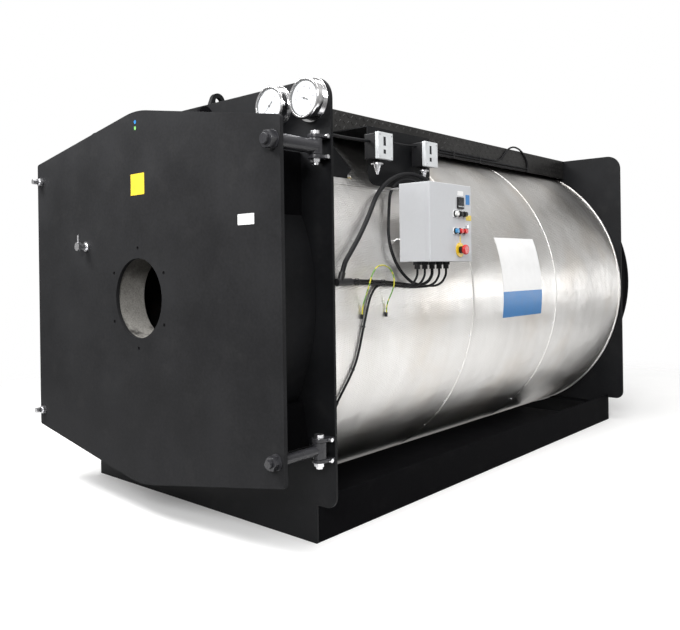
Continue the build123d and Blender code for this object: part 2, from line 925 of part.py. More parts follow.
def corner_box(points):
    """A pair of sheet metal boxes that fill the door's corners outside the drum."""
    block = across(outline(points), door_back, drum_end)
    block -= rod_across(0, burner_axis_height, drum_radius, door_front, front_back)
    solid = block.solids().sort_by(SortBy.VOLUME)[-1]
    return Compound(children=[solid, mirrored(solid)])


def door_boxes_upper():
    side = door_half_width * upper_box_side_share
    top = burner_axis_height + door_corner_height * upper_box_top_share
    return corner_box([(0, burner_axis_height), (side, burner_axis_height), (side, top), (0, top)])


def door_boxes_lower():
    bottom = burner_axis_height - door_corner_height * lower_box_bottom_share
    top = burner_axis_height - door_corner_height * lower_box_top_share
    return corner_box([
        (0, top), (door_half_width * lower_box_top_side_share, top),
        (door_half_width * lower_box_bottom_side_share, bottom), (0, bottom)])


def door_lifting_eyes():
    """Eye plates welded on top of the drum, one each side of the centre-plane."""
    y = front_face - door_lug_distance
    surface = burner_axis_height + sqrt(drum_radius ** 2 - door_lug_offset ** 2)
    hole = surface + door_lug_hole_height
    sketch = Pos(y, hole) * Circle(door_lug_radius)
    sketch += outline([
        (y - door_lug_radius, surface - door_lug_root), (y + door_lug_radius, surface - door_lug_root),
        (y + door_lug_radius, hole), (y - door_lug_radius, hole)])
    sketch -= Pos(y, hole) * Circle(door_lug_hole_radius)
    eye = sideways(sketch, door_lug_offset - door_lug_thickness / 2, door_lug_offset + door_lug_thickness / 2)
    eye -= rod_across(0, burner_axis_height, drum_radius, door_back, drum_end)
    return Compound(children=[eye, mirrored(eye)])


def hinge_bar(z, bar_radius, shank_radius):
    """A round bar from the door's corner back to its eye on the hinge pin."""
    washer_front = door_front - washer_thickness
    bar = rod_across(hinge_offset, z, bar_radius, door_back, hinge_y)
    bar += rod_across(hinge_offset, z, shank_radius, washer_front - nut_height - shank_projection, door_back)
    eye = Pos(hinge_offset, hinge_y) * Circle(eye_radius)
    bar += upward(eye, z - eye_height / 2, z + eye_height / 2)
    hole = Pos(hinge_offset, hinge_y) * Circle(hinge_pin_radius + pin_running_clearance)
    return bar - upward(hole, z - eye_height, z + eye_height)


def hinge_nut(z, shank_radius, flats):
    """A washer and a chamfered hexagon nut on the front of the door."""
    washer_front = door_front - washer_thickness
    nut_front = washer_front - nut_height
    washer = ring_across(hinge_offset, z, washer_radius * flats / nut_across_flats, shank_radius,
                         washer_front, door_front)
    nut = across(Pos(hinge_offset, z) * (hexagon(flats) - Circle(shank_radius)), nut_front, washer_front)
    cone = rod_across(hinge_offset, z, flats / sqrt(3), nut_front, washer_front)
    cone = chamfer(cone.edges().group_by(Axis.Y)[0], flats * nut_chamfer_share)
    return washer + (nut & cone)


def hinge_nuts():
    return Compound(children=[hinge_nut(z, shank, flats) for z, _, shank, flats in hinge_bar_places()])


def hinge_lug(z):
    """One horizontal ear on the front plate, rounded round the pin."""
    left = hinge_offset - lug_inner_end
    right = hinge_offset + lug_outer_end
    sketch = Pos(hinge_offset, hinge_y) * Circle(lug_front_radius)
    sketch += outline([(left, front_face), (right, front_face), (hinge_offset + lug_front_radius, hinge_y),
                       (hinge_offset - lug_front_radius, hinge_y)])
    sketch -= Pos(hinge_offset, hinge_y) * Circle(hinge_pin_radius)
    return upward(sketch, z, z + lug_thickness)


def hinge_lug_places():
    """The undersides of the ears, two at each hinge, above and below the eye."""
    reach = eye_height / 2 + lug_clearance
    return [foot for z, _, _, _ in hinge_bar_places() for foot in (z + reach, z - reach - lug_thickness)]


def hinge_ears():
    return Compound(children=[hinge_lug(foot) for foot in hinge_lug_places()])


def hinge_stud(foot):
    """The round end of an ear's fastening, which stands on the ear's outer edge."""
    y = (front_face + hinge_y) / 2
    start = hinge_offset + lug_front_radius
    end = hinge_offset + lug_outer_end + lug_stud_length
    stud = sideways(Pos(y, foot + lug_thickness / 2) * Circle(lug_stud_radius), start, end) - hinge_lug(foot)
    return stud.solids().sort_by(Axis.X)[-1]


def hinge_pins():
    """A bolt down through each pair of ears, with a round head above and a nut below, and the ears' studs."""
    reach = eye_height / 2 + lug_clearance + lug_thickness
    pins = [hinge_stud(foot) for foot in hinge_lug_places()]
    for z, _, _, _ in hinge_bar_places():
        shank = Pos(hinge_offset, hinge_y) * Circle(hinge_pin_radius)
        nut = Pos(hinge_offset, hinge_y) * Circle(pin_nut_radius)
        foot = Pos(hinge_offset, hinge_y) * hexagon(pin_nut_radius * 2)
        pin = upward(shank, z - reach - pin_nut_height - pin_overhang, z + reach)
        pin += upward(nut, z + reach, z + reach + pin_nut_height)
        pin += upward(foot, z - reach - pin_nut_height, z - reach)
        pins.append(pin)
    return Compound(children=pins)


def closing_bolt(z):
    """A long closing bolt through the door's free edge, up to its anchor on the front plate."""
    anchor_front = front_face - anchor_length
    head_front = door_front - closing_nut_height
    bolt = rod_across(-closing_offset, z, closing_bolt_radius, door_front - closing_bolt_projection,
                      anchor_front - contact_gap)
    nut = across(Pos(-closing_offset, z) * hexagon(closing_nut_across_flats), head_front, door_front)
    return bolt + nut


def closing_bolts():
    return Compound(children=[closing_bolt(z) for z in closing_heights()])


def closing_anchors():
    """Threaded bosses on the front plate that take the closing bolts."""
    start = front_face - anchor_length
    bosses = []
    for z in closing_heights():
        boss = rod_across(-closing_offset, z, anchor_radius, start, front_face)
        bosses.append(chamfer(boss.edges().group_by(Axis.Y)[0], anchor_chamfer))
    return Compound(children=bosses)


def sight_port():
    """The flame sight glass: a short tube with a glass holder and a purge lever."""
    x = -sight_offset
    z = sight_height
    tube_end = door_front - sight_tube_length
    port = rod_across(x, z, sight_flange_radius, door_front - sight_flange_thickness, door_front)
    port += rod_across(x, z, sight_tube_radius, tube_end, door_front)
    port += rod_across(x, z, sight_cap_radius, tube_end - sight_cap_length, tube_end)
    lever_y = tube_end - sight_cap_length / 2
    lever = Pos(x, lever_y) * Circle(sight_lever_radius)
    return port + upward(lever, z, z + sight_cap_radius + sight_lever_height)


def switch_panel():
    """A plate beside the walkway with rounded lower corners and a top flange back to the skirt."""
    start = front_face + panel_start
    end = front_face + panel_end
    face = outline([(start, panel_bottom_height), (end, panel_bottom_height), (end, panel_top_height),
                    (start, panel_top_height)])
    low_corners = face.vertices().group_by(Axis.Y)[0]
    face = fillet(low_corners, panel_corner_radius)
    panel = sideways(face, panel_offset - panel_sheet, panel_offset)
    flange = box_between(
        (walkway_half_width, start, walkway_skirt_foot + panel_flange_drop),
        (panel_offset, end, walkway_skirt_foot + panel_flange_drop + panel_sheet))
    riser = box_between(
        (panel_offset - panel_sheet, start, panel_top_height),
        (panel_offset, end, walkway_skirt_foot + panel_flange_drop + panel_sheet))
    return panel + flange + riser


def pressure_switch(place):
    """A pressure switch: base, raised cover, pressure connection below."""
    start = front_face + place
    end = start + switch_width
    bottom = switch_bottom_height
    top = bottom + switch_height
    back = panel_offset + switch_gap
    front = back + switch_body_depth
    body = box_between((back, start + switch_cover_margin, bottom + switch_cover_margin),
                       (front, end - switch_cover_margin, top - switch_cover_margin))
    body = fillet(body.edges().filter_by(Axis.X), switch_cover_margin * 2)
    cover = box_between((front, start, bottom), (front + switch_cover_thickness, end, top))
    cover = chamfer(cover.faces().sort_by(Axis.X)[-1].edges(), switch_cover_margin)
    foot = box_between((panel_offset, start + switch_foot_inset, bottom + switch_foot_inset),
                       (back, end - switch_foot_inset, top - switch_foot_inset))
    middle = Pos((back + front) / 2, (start + end) / 2)
    neck = upward(middle * Circle(switch_neck_radius), bottom - switch_neck_height, bottom + switch_cover_margin)
    flange_foot = bottom - switch_neck_height - switch_flange_thickness
    flange = upward(middle * Circle(switch_flange_radius), flange_foot, bottom - switch_neck_height)
    cone_top = Plane.XY.offset(flange_foot) * middle * Circle(switch_neck_radius)
    cone_tip = Plane.XY.offset(flange_foot - switch_cone_height) * middle * Circle(switch_cone_tip_radius)
    cone = loft([cone_top, cone_tip])
    return body + cover + foot + neck + flange + cone


def enclosure_shell():
    """The open box of the control enclosure."""
    start = enclosure_front_edge
    end = enclosure_rear_edge
    bottom = enclosure_bottom_height
    top = enclosure_top_height
    lip = enclosure_front_offset - enclosure_door_depth
    box = box_between((enclosure_back_offset, start, bottom), (lip, end, top))
    box = fillet(box.edges().filter_by(Axis.X), enclosure_corner_radius)
    t = enclosure_sheet
    hollow = box_between((enclosure_back_offset + t, start + t, bottom + t), (lip + overrun, end - t, top - t))
    return box - hollow


def enclosure_door():
    """A folded sheet door with turned edges."""
    start = enclosure_front_edge
    end = enclosure_rear_edge
    bottom = enclosure_bottom_height
    top = enclosure_top_height
    back = enclosure_front_offset - enclosure_door_depth + enclosure_door_gap
    t = enclosure_sheet
    door = box_between((back, start, bottom), (enclosure_front_offset, end, top))
    door = fillet(door.edges().filter_by(Axis.X), enclosure_corner_radius)
    door = fillet(door.faces().sort_by(Axis.X)[-1].edges(), enclosure_sheet)
    hollow = box_between((back - overrun, start + t, bottom + t), (enclosure_front_offset - t, end - t, top - t))
    return door - hollow


def on_enclosure_door(shares):
    """The Y and Z of a place given as shares of the door's width and height, from its front bottom corner."""
    return (enclosure_front_edge + shares[0] * enclosure_width,
            enclosure_bottom_height + shares[1] * enclosure_height)


def knob(shares, profile):
    """Stacked discs on the enclosure door, given as radius and depth from the face outwards."""
    y, z = on_enclosure_door(shares)
    x = enclosure_front_offset
    shape = None
    for radius, depth in profile:
        piece = sideways(Pos(y, z) * Circle(radius), x, x + depth)
        shape = piece if shape is None else shape + piece
        x += depth
    return shape


def display_unit():
    y, z = on_enclosure_door(display_place_shares)
    half = display_side / 2
    frame = box_between((enclosure_front_offset, y - half, z - half),
                        (enclosure_front_offset + display_depth, y + half, z + half))
    return chamfer(frame.faces().sort_by(Axis.X)[-1].edges(), display_chamfer)


def control_row(height_share):
    """A row of operating elements, each a plate with a round control on it."""
    pieces = []
    half = element_plate_width / 2
    for row_share in row_place_shares:
        y, z = on_enclosure_door((row_share, height_share))
        plate = box_between((enclosure_front_offset, y - half, z - half),
                            (enclosure_front_offset + element_plate_depth, y + half, z + half))
        control = knob((row_share, height_share), [
            (element_radius, element_base_depth), (element_cap_radius, element_cap_depth)])
        pieces.append(plate + control)
    return Compound(children=pieces)


def emergency_stop():
    """A mushroom push button on its disc."""
    button = knob(stop_place_shares, [
        (stop_disc_radius, stop_disc_depth), (stop_stem_radius, stop_stem_depth),
        (stop_head_radius, stop_head_depth)])
    rim = button.edges().filter_by(GeomType.CIRCLE).group_by(Axis.X)[-1]
    return fillet(rim, stop_head_depth / 2)


def door_lock():
    return knob(lock_place_shares, [(lock_radius, lock_depth)])


def enclosure_brackets():
    """Two Z-shaped straps that carry the enclosure on the cladding."""
    bottom = enclosure_bottom_height + bracket_bottom_rise
    top = enclosure_top_height - bracket_top_drop
    straps = []
    for y in (enclosure_front_edge + bracket_side_inset, enclosure_rear_edge - bracket_side_inset):
        upright = box_between(
            (enclosure_back_offset - bracket_thickness, y - bracket_width / 2, bottom),
            (enclosure_back_offset, y + bracket_width / 2, top))
        for z in (top, bottom + bracket_foot_length):
            reach = sqrt(cladding_radius ** 2 - (z - bracket_thickness - shell_axis_height) ** 2)
            arm = box_between((reach - bracket_foot_length, y - bracket_width / 2, z - bracket_thickness),
                              (enclosure_back_offset, y + bracket_width / 2, z))
            upright += arm
        upright -= rod_across(0, shell_axis_height, cladding_radius, y - bracket_width, y + bracket_width)
        straps.append(upright.solids().sort_by(SortBy.VOLUME)[-1])
    return Compound(children=straps)


def gland_places():
    return [enclosure_front_edge + gland_first + gland_pitch * i for i in range(gland_count)]


def cable_glands():
    x = enclosure_back_offset + gland_inset
    glands = []
    for y in gland_places():
        nut = upward(Pos(x, y) * hexagon(gland_nut_radius * 2), enclosure_bottom_height - gland_nut_height,
                     enclosure_bottom_height)
        foot = enclosure_bottom_height - gland_nut_height
        body = upward(Pos(x, y) * Circle(gland_body_radius), foot - gland_body_height, foot)
        glands.append(nut + body)
    return Compound(children=glands)


def earth_stud():
    """The earthing stud on the deck's front corner."""
    x = deck_outer_half_width - earth_stud_edge_inset
    y = front_back + bearer_end_inset
    plate = upward(Pos(x, y) * Rectangle(earth_plate_length, earth_plate_width), deck_height,
                   deck_height + deck_sheet)
    stud = upward(Pos(x, y) * Circle(earth_stud_radius), deck_height, deck_height + earth_stud_height)
    return plate + stud


def beside_cladding(distance, angle, clearance):
    """A point off the cladding's right side: from the front face, above the shell's axis and off the sheet."""
    reach = cladding_radius + clearance
    return (reach * cos(radians(angle)), front_face + distance, shell_axis_height + reach * sin(radians(angle)))


def tube(name, points, radius):
    """A round tube along straight runs, joined by arcs as large as the runs allow."""
    corners = [Vector(*point) for point in points]
    runs = [end - start for start, end in zip(corners, corners[1:])]
    radii = [
        arc_share * min(before.length, after.length) / tan(radians(before.get_angle(after)) / 2)
        for before, after in zip(runs, runs[1:])
    ]
    path = FilletPolyline(*corners, radius=radii)
    solid = sweep(Plane(origin=corners[0], z_dir=runs[0]) * Circle(radius), path=path)
    expected = pi * radius ** 2 * path.length
    print(f"{name}: length {path.length:.0f}, smallest arcs {[round(r) for r in sorted(radii)[:4]]}, "
          f"volume over section times length {solid.volume / expected:.4f}")
    return solid


def rod_between(start, end, radius):
    """A round rod from one point to another."""
    first = Vector(*start)
    run = Vector(*end) - first
    return extrude(Plane(origin=first, z_dir=run) * Circle(radius), amount=run.length)


def point_towards(start, end, reach):
    """The point at a distance from a start on the line to an end, or behind the start if it is negative."""
    first = Vector(*start)
    return tuple(first + (Vector(*end) - first).normalized() * reach)


def after_steps(start, steps):
    """The points that a series of steps leads to, with the start before them."""
    points = [Vector(*start)]
    for step in steps:
        points.append(points[-1] + Vector(*step))
    return [tuple(point) for point in points]


def gland_end(index):
    """The place where a cable leaves its gland."""
    return (enclosure_back_offset + gland_inset, gland_places()[index],
            enclosure_bottom_height - gland_nut_height - gland_body_height)


def in_bundle(distance, column, row):
    """The middle of a bundled cable, by its column off the cladding and its row from below."""
    rise = bundle_front_rise - bundle_sink * (distance / bundle_sink_length) ** 2 + (row - 1 / 2) * bundle_pitch
    reach = cladding_radius + bundle_inner_clearance + column * bundle_pitch
    return (sqrt(reach ** 2 - rise ** 2), front_face + distance, shell_axis_height + rise)


def bundled_run(index, column, row, end_distance):
    """The route of a cable from its gland into the bundle and forward in it."""
    points = after_steps(gland_end(index), gland_cable_steps)
    entry = points[-1][1] - front_face - bundle_entry_step
    count = round((entry - end_distance) / bundle_step)
    return points + [
        in_bundle(entry + (end_distance - entry) * i / count, column, row) for i in range(count + 1)]


def main_cables():
    """The cables from the glands: three to the boot at the front, and the sensor cable."""
    routes = {
        "first cable": bundled_run(0, 1, 0, boot_end + seat_gap),
        "second cable": bundled_run(1, 1, 1, boot_end + seat_gap),
        "last cable": bundled_run(gland_count - 1, 0, 1, boot_end + seat_gap),
        "sensor cable": bundled_run(sensor_gland, 0, 0, sensor_leave_distance) + [
            beside_cladding(*place) for place in sensor_run],
    }
    return Compound(children=[tube(name, points, cable_radius) for name, points in routes.items()])


def boot_middle():
    """The middle of the front boot where the front conduit leaves it."""
    x, _, z = in_bundle(boot_end, 1 / 2, 1 / 2)
    return (x, front_face + 2 * boot_start, z)


def front_conduit_start():
    return point_towards(boot_middle(), beside_cladding(*front_conduit_run[0]), conduit_gland_reach)


def conduits():
    """The two conduits that arch in front of the switch panel."""
    front = [front_conduit_start()] + [beside_cladding(*place) for place in front_conduit_run]
    rear = after_steps(gland_end(conduit_gland), gland_conduit_steps) + [
        beside_cladding(*place) for place in gland_conduit_run]
    return Compound(children=[
        tube("front conduit", front, front_conduit_radius),
        tube("gland conduit", rear, gland_conduit_radius),
    ])


def skirt_line_offset():
    return walkway_half_width + skirt_line_radius + skirt_line_gap


def switch_line(name, start, end, rise, sags, radius):
    """A line that hangs between two upright faces at the switches' height."""
    x = panel_offset + line_inset
    step = (end - start - 2 * seat_gap) / (len(sags) - 1)
    points = [(x, start + seat_gap + step * i, switch_bottom_height + rise - sag) for i, sag in enumerate(sags)]
    return tube(name, points, radius)


def skirt_lines():
    """Two straight lines and one with a hook along the skirt, and the two lines at the switches."""
    x = skirt_line_offset()
    start = front_face + skirt_lines_start + skirt_block_length
    end = front_face + skirt_lines_end
    lines = [
        rod_between((x, start, walkway_skirt_foot + rise), (x, end, walkway_skirt_foot + rise), skirt_line_radius)
        for rise in skirt_line_rises[:2]
    ]
    hook = [(x, start, walkway_skirt_foot + skirt_line_rises[-1])] + [
        (x, front_face + distance, walkway_skirt_foot + rise) for distance, rise in hook_run]
    hook.append((x, hook[-1][1], walkway_skirt_foot + skirt_block_low_height - skirt_block_drop))
    lines.append(tube("hook line", hook, skirt_line_radius))
    first_switch, second_switch = [front_face + place for place in switch_starts]
    margin = switch_cover_margin
    lines.append(switch_line("front line", front_back, first_switch + margin, front_line_rise, front_line_sags,
                             front_line_radius))
    lines.append(switch_line("link line", first_switch + switch_width - margin, second_switch + margin, link_rise,
                             link_sags, link_radius))
    return Compound(children=lines)


def earth_wire():
    return tube("earth wire", [beside_cladding(*place) for place in earth_wire_run], earth_wire_radius)


def sleeve_before(points, radius, length):
    """A sleeve in line with a route's first run, which ends where the route starts."""
    return rod_between(point_towards(points[0], points[1], -length), points[0], radius)


def conduit_boss(place, radius):
    """A round boss on the cladding under the end of a conduit."""
    distance, angle, clearance = place
    return rod_between(beside_cladding(distance, angle, seat_gap), beside_cladding(distance, angle, clearance),
                       radius + conduit_boss_margin)


def bundle_tie(distance):
    """A tie round the bundle."""
    x, y, z = in_bundle(distance, 1 / 2, 1 / 2)
    return ring_across(x, z, boot_radius, tie_bore_radius, y - tie_width / 2, y + tie_width / 2)


def sensor_clip(index):
    """A saddle round the sensor cable at the middle of one of its runs."""
    start, end = [Vector(*beside_cladding(*place)) for place in sensor_run[index:index + 2]]
    middle = (start + end) / 2
    half = (end - start).normalized() * tie_width / 2
    ring = rod_between(middle - half, middle + half, sensor_sleeve_radius)
    return ring - rod_between(middle - half * 2, middle + half * 2, clip_bore_radius)


def skirt_block(distance, height):
    """A block on the skirt that holds the ends of its lines."""
    start = front_face + distance
    foot = walkway_skirt_foot - skirt_block_drop
    return box_between((walkway_half_width, start, foot),
                       (walkway_half_width + skirt_block_depth, start + skirt_block_length, foot + height))


def skirt_clip(distance):
    """A comb clip over the lines on the skirt, with a slot for each line."""
    x = skirt_line_offset()
    reach = skirt_line_radius + skirt_clip_reach
    start = front_face + distance
    low = walkway_skirt_foot + skirt_line_rises[0]
    high = walkway_skirt_foot + skirt_line_rises[-1]
    face = outline([(walkway_half_width, low - reach), (x + reach, low - reach), (x + reach, high + reach),
                    (walkway_half_width, high + reach)])
    bore = skirt_line_radius + skirt_line_gap
    inside = walkway_half_width - overrun
    for rise in skirt_line_rises:
        z = walkway_skirt_foot + rise
        face -= disc(x, z, bore)
        face -= outline([(inside, z - bore), (x, z - bore), (x, z + bore), (inside, z + bore)])
    return across(face, start, start + skirt_clip_width)


def cable_clips():
    """The boot, sleeves, bosses, ties and clips that hold the cables."""
    boot_x, _, boot_z = boot_middle()
    boot = rod_across(boot_x, boot_z, boot_radius, front_face + boot_start, front_face + boot_end)
    boot += rod_between(boot_middle(), front_conduit_start(), conduit_gland_radius)
    sensor = [beside_cladding(*place) for place in sensor_run]
    earth = [beside_cladding(*place) for place in earth_wire_run]
    clips = [
        boot,
        conduit_boss(front_conduit_run[-1], front_conduit_radius),
        conduit_boss(gland_conduit_run[-1], gland_conduit_radius),
        sleeve_before(sensor[::-1], sensor_sleeve_radius, sensor_sleeve_length),
        sleeve_before(earth, earth_sleeve_radius, earth_sleeve_length),
        sleeve_before(earth[::-1], earth_sleeve_radius, earth_sleeve_length),
        skirt_block(skirt_lines_start, skirt_block_height),
        skirt_block(skirt_lines_end, skirt_block_low_height),
    ]
    clips += [bundle_tie(distance) for distance in tie_distances]
    clips += [sensor_clip(index) for index in clip_runs]
    clips += [skirt_clip(distance) for distance in skirt_clip_distances]
    return Compound(children=clips)


def main():
    os.makedirs("parts", exist_ok=True)
    save("front_plate", end_plate(front_face))
    save("rear_plate", end_plate(rear_front))
    save("base_beam_right", base_beam(1))
    save("base_beam_left", base_beam(-1))
    save("base_bearers", base_bearers())
    save("base_deck", base_deck())
    save("earth_stud", earth_stud())
    save("pressure_shell", pressure_shell())
    save("front_tube_plate", front_tube_plate())
    save("rear_tube_plate", rear_tube_plate())
    save("furnace_tube", furnace_tube())
    save("furnace_end", furnace_end_plate())
    save("fire_tubes", fire_tubes())
    save("insulation", insulation())
    front_seam = front_face + front_seam_distance
    rear_seam = front_face + rear_seam_distance
    save("cladding_front", cladding_sheet_ring(front_back, front_seam, seam_bead_height, seam_bead_width))
    save("cladding_middle", cladding_sheet_ring(front_seam, rear_seam, seam_bead_height, seam_bead_width))
    save("cladding_rear", cladding_sheet_ring(rear_seam, rear_front, rim_bead_height, rim_bead_width))
    save("walkway_cover", walkway_cover())
    save("lifting_lugs", lifting_lugs())
    flow_y, return_y = nozzle_places()
    save("flow_nozzle", nozzle(flow_y))
    save("return_nozzle", nozzle(return_y))
    save("gussets", gussets())
    save("gusset_flashings", gusset_flashings())
    save("rear_smoke_box", rear_smoke_box())
    save("rear_cover", rear_cover())
    save("flue_collar", flue_collar())
    save("cleaning_cover", cleaning_cover())
    save("gauge_left", gauge(left_gauge_offset))
    save("gauge_right", gauge(right_gauge_offset))
    save("hinge_ears", hinge_ears())
    save("hinge_pins", hinge_pins())
    save("closing_anchors", closing_anchors())
    save("switch_panel", switch_panel())
    for name, place in zip(("front", "rear"), switch_starts):
        save(f"pressure_switch_{name}", pressure_switch(place))
    save("enclosure_brackets", enclosure_brackets())
    save("enclosure_shell", enclosure_shell())
    save("cable_glands", cable_glands())
    save("main_cables", main_cables())
    save("conduits", Compound(children=conduits().solids() + skirt_lines().solids()))
    save("earth_wire", earth_wire())
    save("cable_clips", cable_clips())
    save("door_plate", door_plate())
    save("door_drum", door_drum())
    save("door_refractory", door_refractory())
    save("door_seal", door_seal())
    save("door_boxes_upper", door_boxes_upper())
    save("door_boxes_lower", door_boxes_lower())
    save("door_lifting_eyes", door_lifting_eyes())
    for name, (z, bar, shank, _) in zip(("upper", "lower"), hinge_bar_places()):
        save(f"hinge_bar_{name}", hinge_bar(z, bar, shank))
    save("hinge_nuts", hinge_nuts())
    save("closing_bolts", closing_bolts())
    save("sight_port", sight_port())
    save("enclosure_door", enclosure_door())
    save("display_unit", display_unit())
    save("control_row_upper", control_row(upper_row_height_share))
    save("control_row_lower", control_row(lower_row_height_share))
    save("emergency_stop", emergency_stop())
    save("door_lock", door_lock())


main()
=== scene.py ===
"""Looks of an industrial boiler: finishes, small fittings, instruments, wiring, studio and camera."""
import json
import logging
import math
from dataclasses import dataclass, field
from enum import Enum
from typing import Any, Callable, Sequence, Union

import bpy
from mathutils import Matrix, Vector


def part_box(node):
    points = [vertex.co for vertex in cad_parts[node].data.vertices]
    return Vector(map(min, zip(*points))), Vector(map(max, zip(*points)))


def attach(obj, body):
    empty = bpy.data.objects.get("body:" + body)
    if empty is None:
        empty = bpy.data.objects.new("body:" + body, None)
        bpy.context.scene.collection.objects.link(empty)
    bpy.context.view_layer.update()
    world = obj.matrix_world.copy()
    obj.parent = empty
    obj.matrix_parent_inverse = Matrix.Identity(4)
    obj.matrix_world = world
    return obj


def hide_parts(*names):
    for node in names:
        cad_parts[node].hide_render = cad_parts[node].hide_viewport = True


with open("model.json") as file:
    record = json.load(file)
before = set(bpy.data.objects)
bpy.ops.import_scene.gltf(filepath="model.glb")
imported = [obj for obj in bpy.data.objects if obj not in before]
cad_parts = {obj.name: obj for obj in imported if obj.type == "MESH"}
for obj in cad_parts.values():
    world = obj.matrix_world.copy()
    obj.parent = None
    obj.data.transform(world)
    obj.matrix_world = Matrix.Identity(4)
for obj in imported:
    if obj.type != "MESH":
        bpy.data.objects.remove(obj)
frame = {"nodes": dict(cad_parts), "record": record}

log = logging.getLogger("boiler")

MM = 0.001
Colour = tuple[float, float, float]
Number = Union["Signal", float]


class Body(Enum):
    """The bodies that pieces ride on."""

    BOILER = "boiler_body"
    DOOR = "burner_door"
    CABINET = "cabinet_door"


class Axis(Enum):
    """The direction in which a round primitive points, as the turn that brings it there."""

    X = (0.0, math.pi / 2, 0.0)
    Y = (-math.pi / 2, 0.0, 0.0)
    Z = (0.0, 0.0, 0.0)


class Signal:
    """A number that varies over a surface, so that shader maths reads as an expression."""

    def __init__(self, recipe: "Recipe", socket: bpy.types.NodeSocket) -> None:
        """Keep the recipe that the number belongs to and the socket that gives it."""
        self.recipe = recipe
        self.socket = socket

    def maths(self, operation: str, *values: Number) -> "Signal":
        """Add one Math node.

        Args:
            operation: The node's operation.
            values: Its inputs in order.

        Returns:
            The node's result.
        """
        node = self.recipe.add("ShaderNodeMath", {"operation": operation}, dict(enumerate(values)))
        return Signal(self.recipe, node.outputs[0])

    def __add__(self, other: Number) -> "Signal":
        """Give the sum."""
        return self.maths("ADD", self, other)

    def __radd__(self, other: float) -> "Signal":
        """Give the sum with a number on the left."""
        return self.maths("ADD", other, self)

    def __sub__(self, other: Number) -> "Signal":
        """Give the difference."""
        return self.maths("SUBTRACT", self, other)

    def __mul__(self, other: Number) -> "Signal":
        """Give the product."""
        return self.maths("MULTIPLY", self, other)

    def __pow__(self, other: Number) -> "Signal":
        """Give the power."""
        return self.maths("POWER", self, other)

    def ramp(self, low: float, high: float, start: float = 0.0, end: float = 1.0) -> "Signal":
        """Carry a range smoothly over to another one.

        Args:
            low: The value that gives start.
            high: The value that gives end.
            start: The result at low and below it.
            end: The result at high and above it.

        Returns:
            The carried number.
        """
        node = self.recipe.add(
            "ShaderNodeMapRange", {"interpolation_type": "SMOOTHSTEP"},
            {"Value": self, "From Min": low, "From Max": high, "To Min": start, "To Max": end})
        return Signal(self.recipe, node.outputs[0])


class Recipe:
    """The node tree of a finish or of the sky while it is put together."""

    def __init__(self, owner: Union[bpy.types.Material, bpy.types.World]) -> None:
        """Start with an empty tree."""
        owner.use_nodes = True
        self.tree = owner.node_tree
        self.tree.nodes.clear()
        self.coordinates = self.add("ShaderNodeTexCoord", {}, {})
        self.place = self.coordinates.outputs["Object"]

    def add(self, kind: str, settings: dict[str, Any], inputs: dict[Any, Any]) -> bpy.types.Node:
        """Add one node of any kind.

        Args:
            kind: The node's type.
            settings: Its own settings, with a ramp's stops as pairs of place and colour.
            inputs: The values, signals or sockets for its inputs.

        Returns:
            The node.
        """
        node = self.tree.nodes.new(kind)
        stops = settings.get("stops", ())
        for key, value in settings.items():
            if key != "stops":
                setattr(node, key, value)
        for index, (place, colour) in enumerate(stops):
            elements = node.color_ramp.elements
            stop = elements[index] if index < len(elements) else elements.new(place)
            stop.position = place
            stop.color = (*colour, 1.0)
        for key, value in inputs.items():
            socket = node.inputs[key]
            if isinstance(value, Signal):
                value = value.socket
            if isinstance(value, bpy.types.NodeSocket):
                self.tree.links.new(value, socket)
            else:
                socket.default_value = value
        return node

    def axes(self) -> tuple[Signal, Signal, Signal]:
        """Give the place on the object as three numbers."""
        node = self.add("ShaderNodeSeparateXYZ", {}, {0: self.place})
        x, y, z = (Signal(self, output) for output in node.outputs)
        return x, y, z

    def vector(self, x: Number, y: Number, z: Number) -> bpy.types.NodeSocket:
        """Join three numbers to one vector."""
        return self.add("ShaderNodeCombineXYZ", {}, {0: x, 1: y, 2: z}).outputs[0]

    def noise(self, size: float, detail: float = 3.0, place: Any = None, roughness: float = 0.55) -> Signal:
        """Add cloudy noise.

        Args:
            size: The size of its clouds in metres.
            detail: How many finer layers it has.
            place: The vector to read, if not the place on the object.
            roughness: How strong the finer layers are.

        Returns:
            A number round a half.
        """
        node = self.add("ShaderNodeTexNoise", {}, {
            "Vector": place or self.place, "Scale": 1.0 / size, "Detail": detail, "Roughness": roughness})
        return Signal(self, node.outputs[0])

    def blend(self, share: Number, first: Any, second: Any) -> bpy.types.NodeSocket:
        """Mix two colours, each a tuple or a socket.

        Args:
            share: How much of the second there is.
            first: The first colour.
            second: The second colour.

        Returns:
            The mixed colour.
        """
        colours = {key: (*value, 1.0) if isinstance(value, tuple) else value
                   for key, value in ((6, first), (7, second))}
        node = self.add("ShaderNodeMix", {"data_type": "RGBA"}, {0: share, **colours})
        return node.outputs[2]

    def bump(self, height: Signal, depth: float, below: Any = None) -> bpy.types.NodeSocket:
        """Turn a height from 0 to 1 into a bent normal.

        Args:
            height: The height.
            depth: How deep it is, in metres.
            below: A normal that it lies on, if there is one.

        Returns:
            The normal.
        """
        inputs: dict[str, Any] = {"Height": height, "Distance": depth}
        if below is not None:
            inputs["Normal"] = below
        return self.add("ShaderNodeBump", {}, inputs).outputs[0]

    def surface(self, inputs: dict[str, Any]) -> None:
        """End the tree with one surface shader.

        Args:
            inputs: The shader's inputs.
        """
        colour = inputs.get("Base Color")
        if isinstance(colour, tuple):
            inputs["Base Color"] = (*colour, 1.0)
        shader = self.add("ShaderNodeBsdfPrincipled", {}, inputs)
        self.add("ShaderNodeOutputMaterial", {}, {0: shader.outputs[0]})


def shade(colour: Colour, factor: float) -> Colour:
    """Give a lighter or darker form of a colour."""
    red, green, blue = colour
    return (min(1.0, red * factor), min(1.0, green * factor), min(1.0, blue * factor))


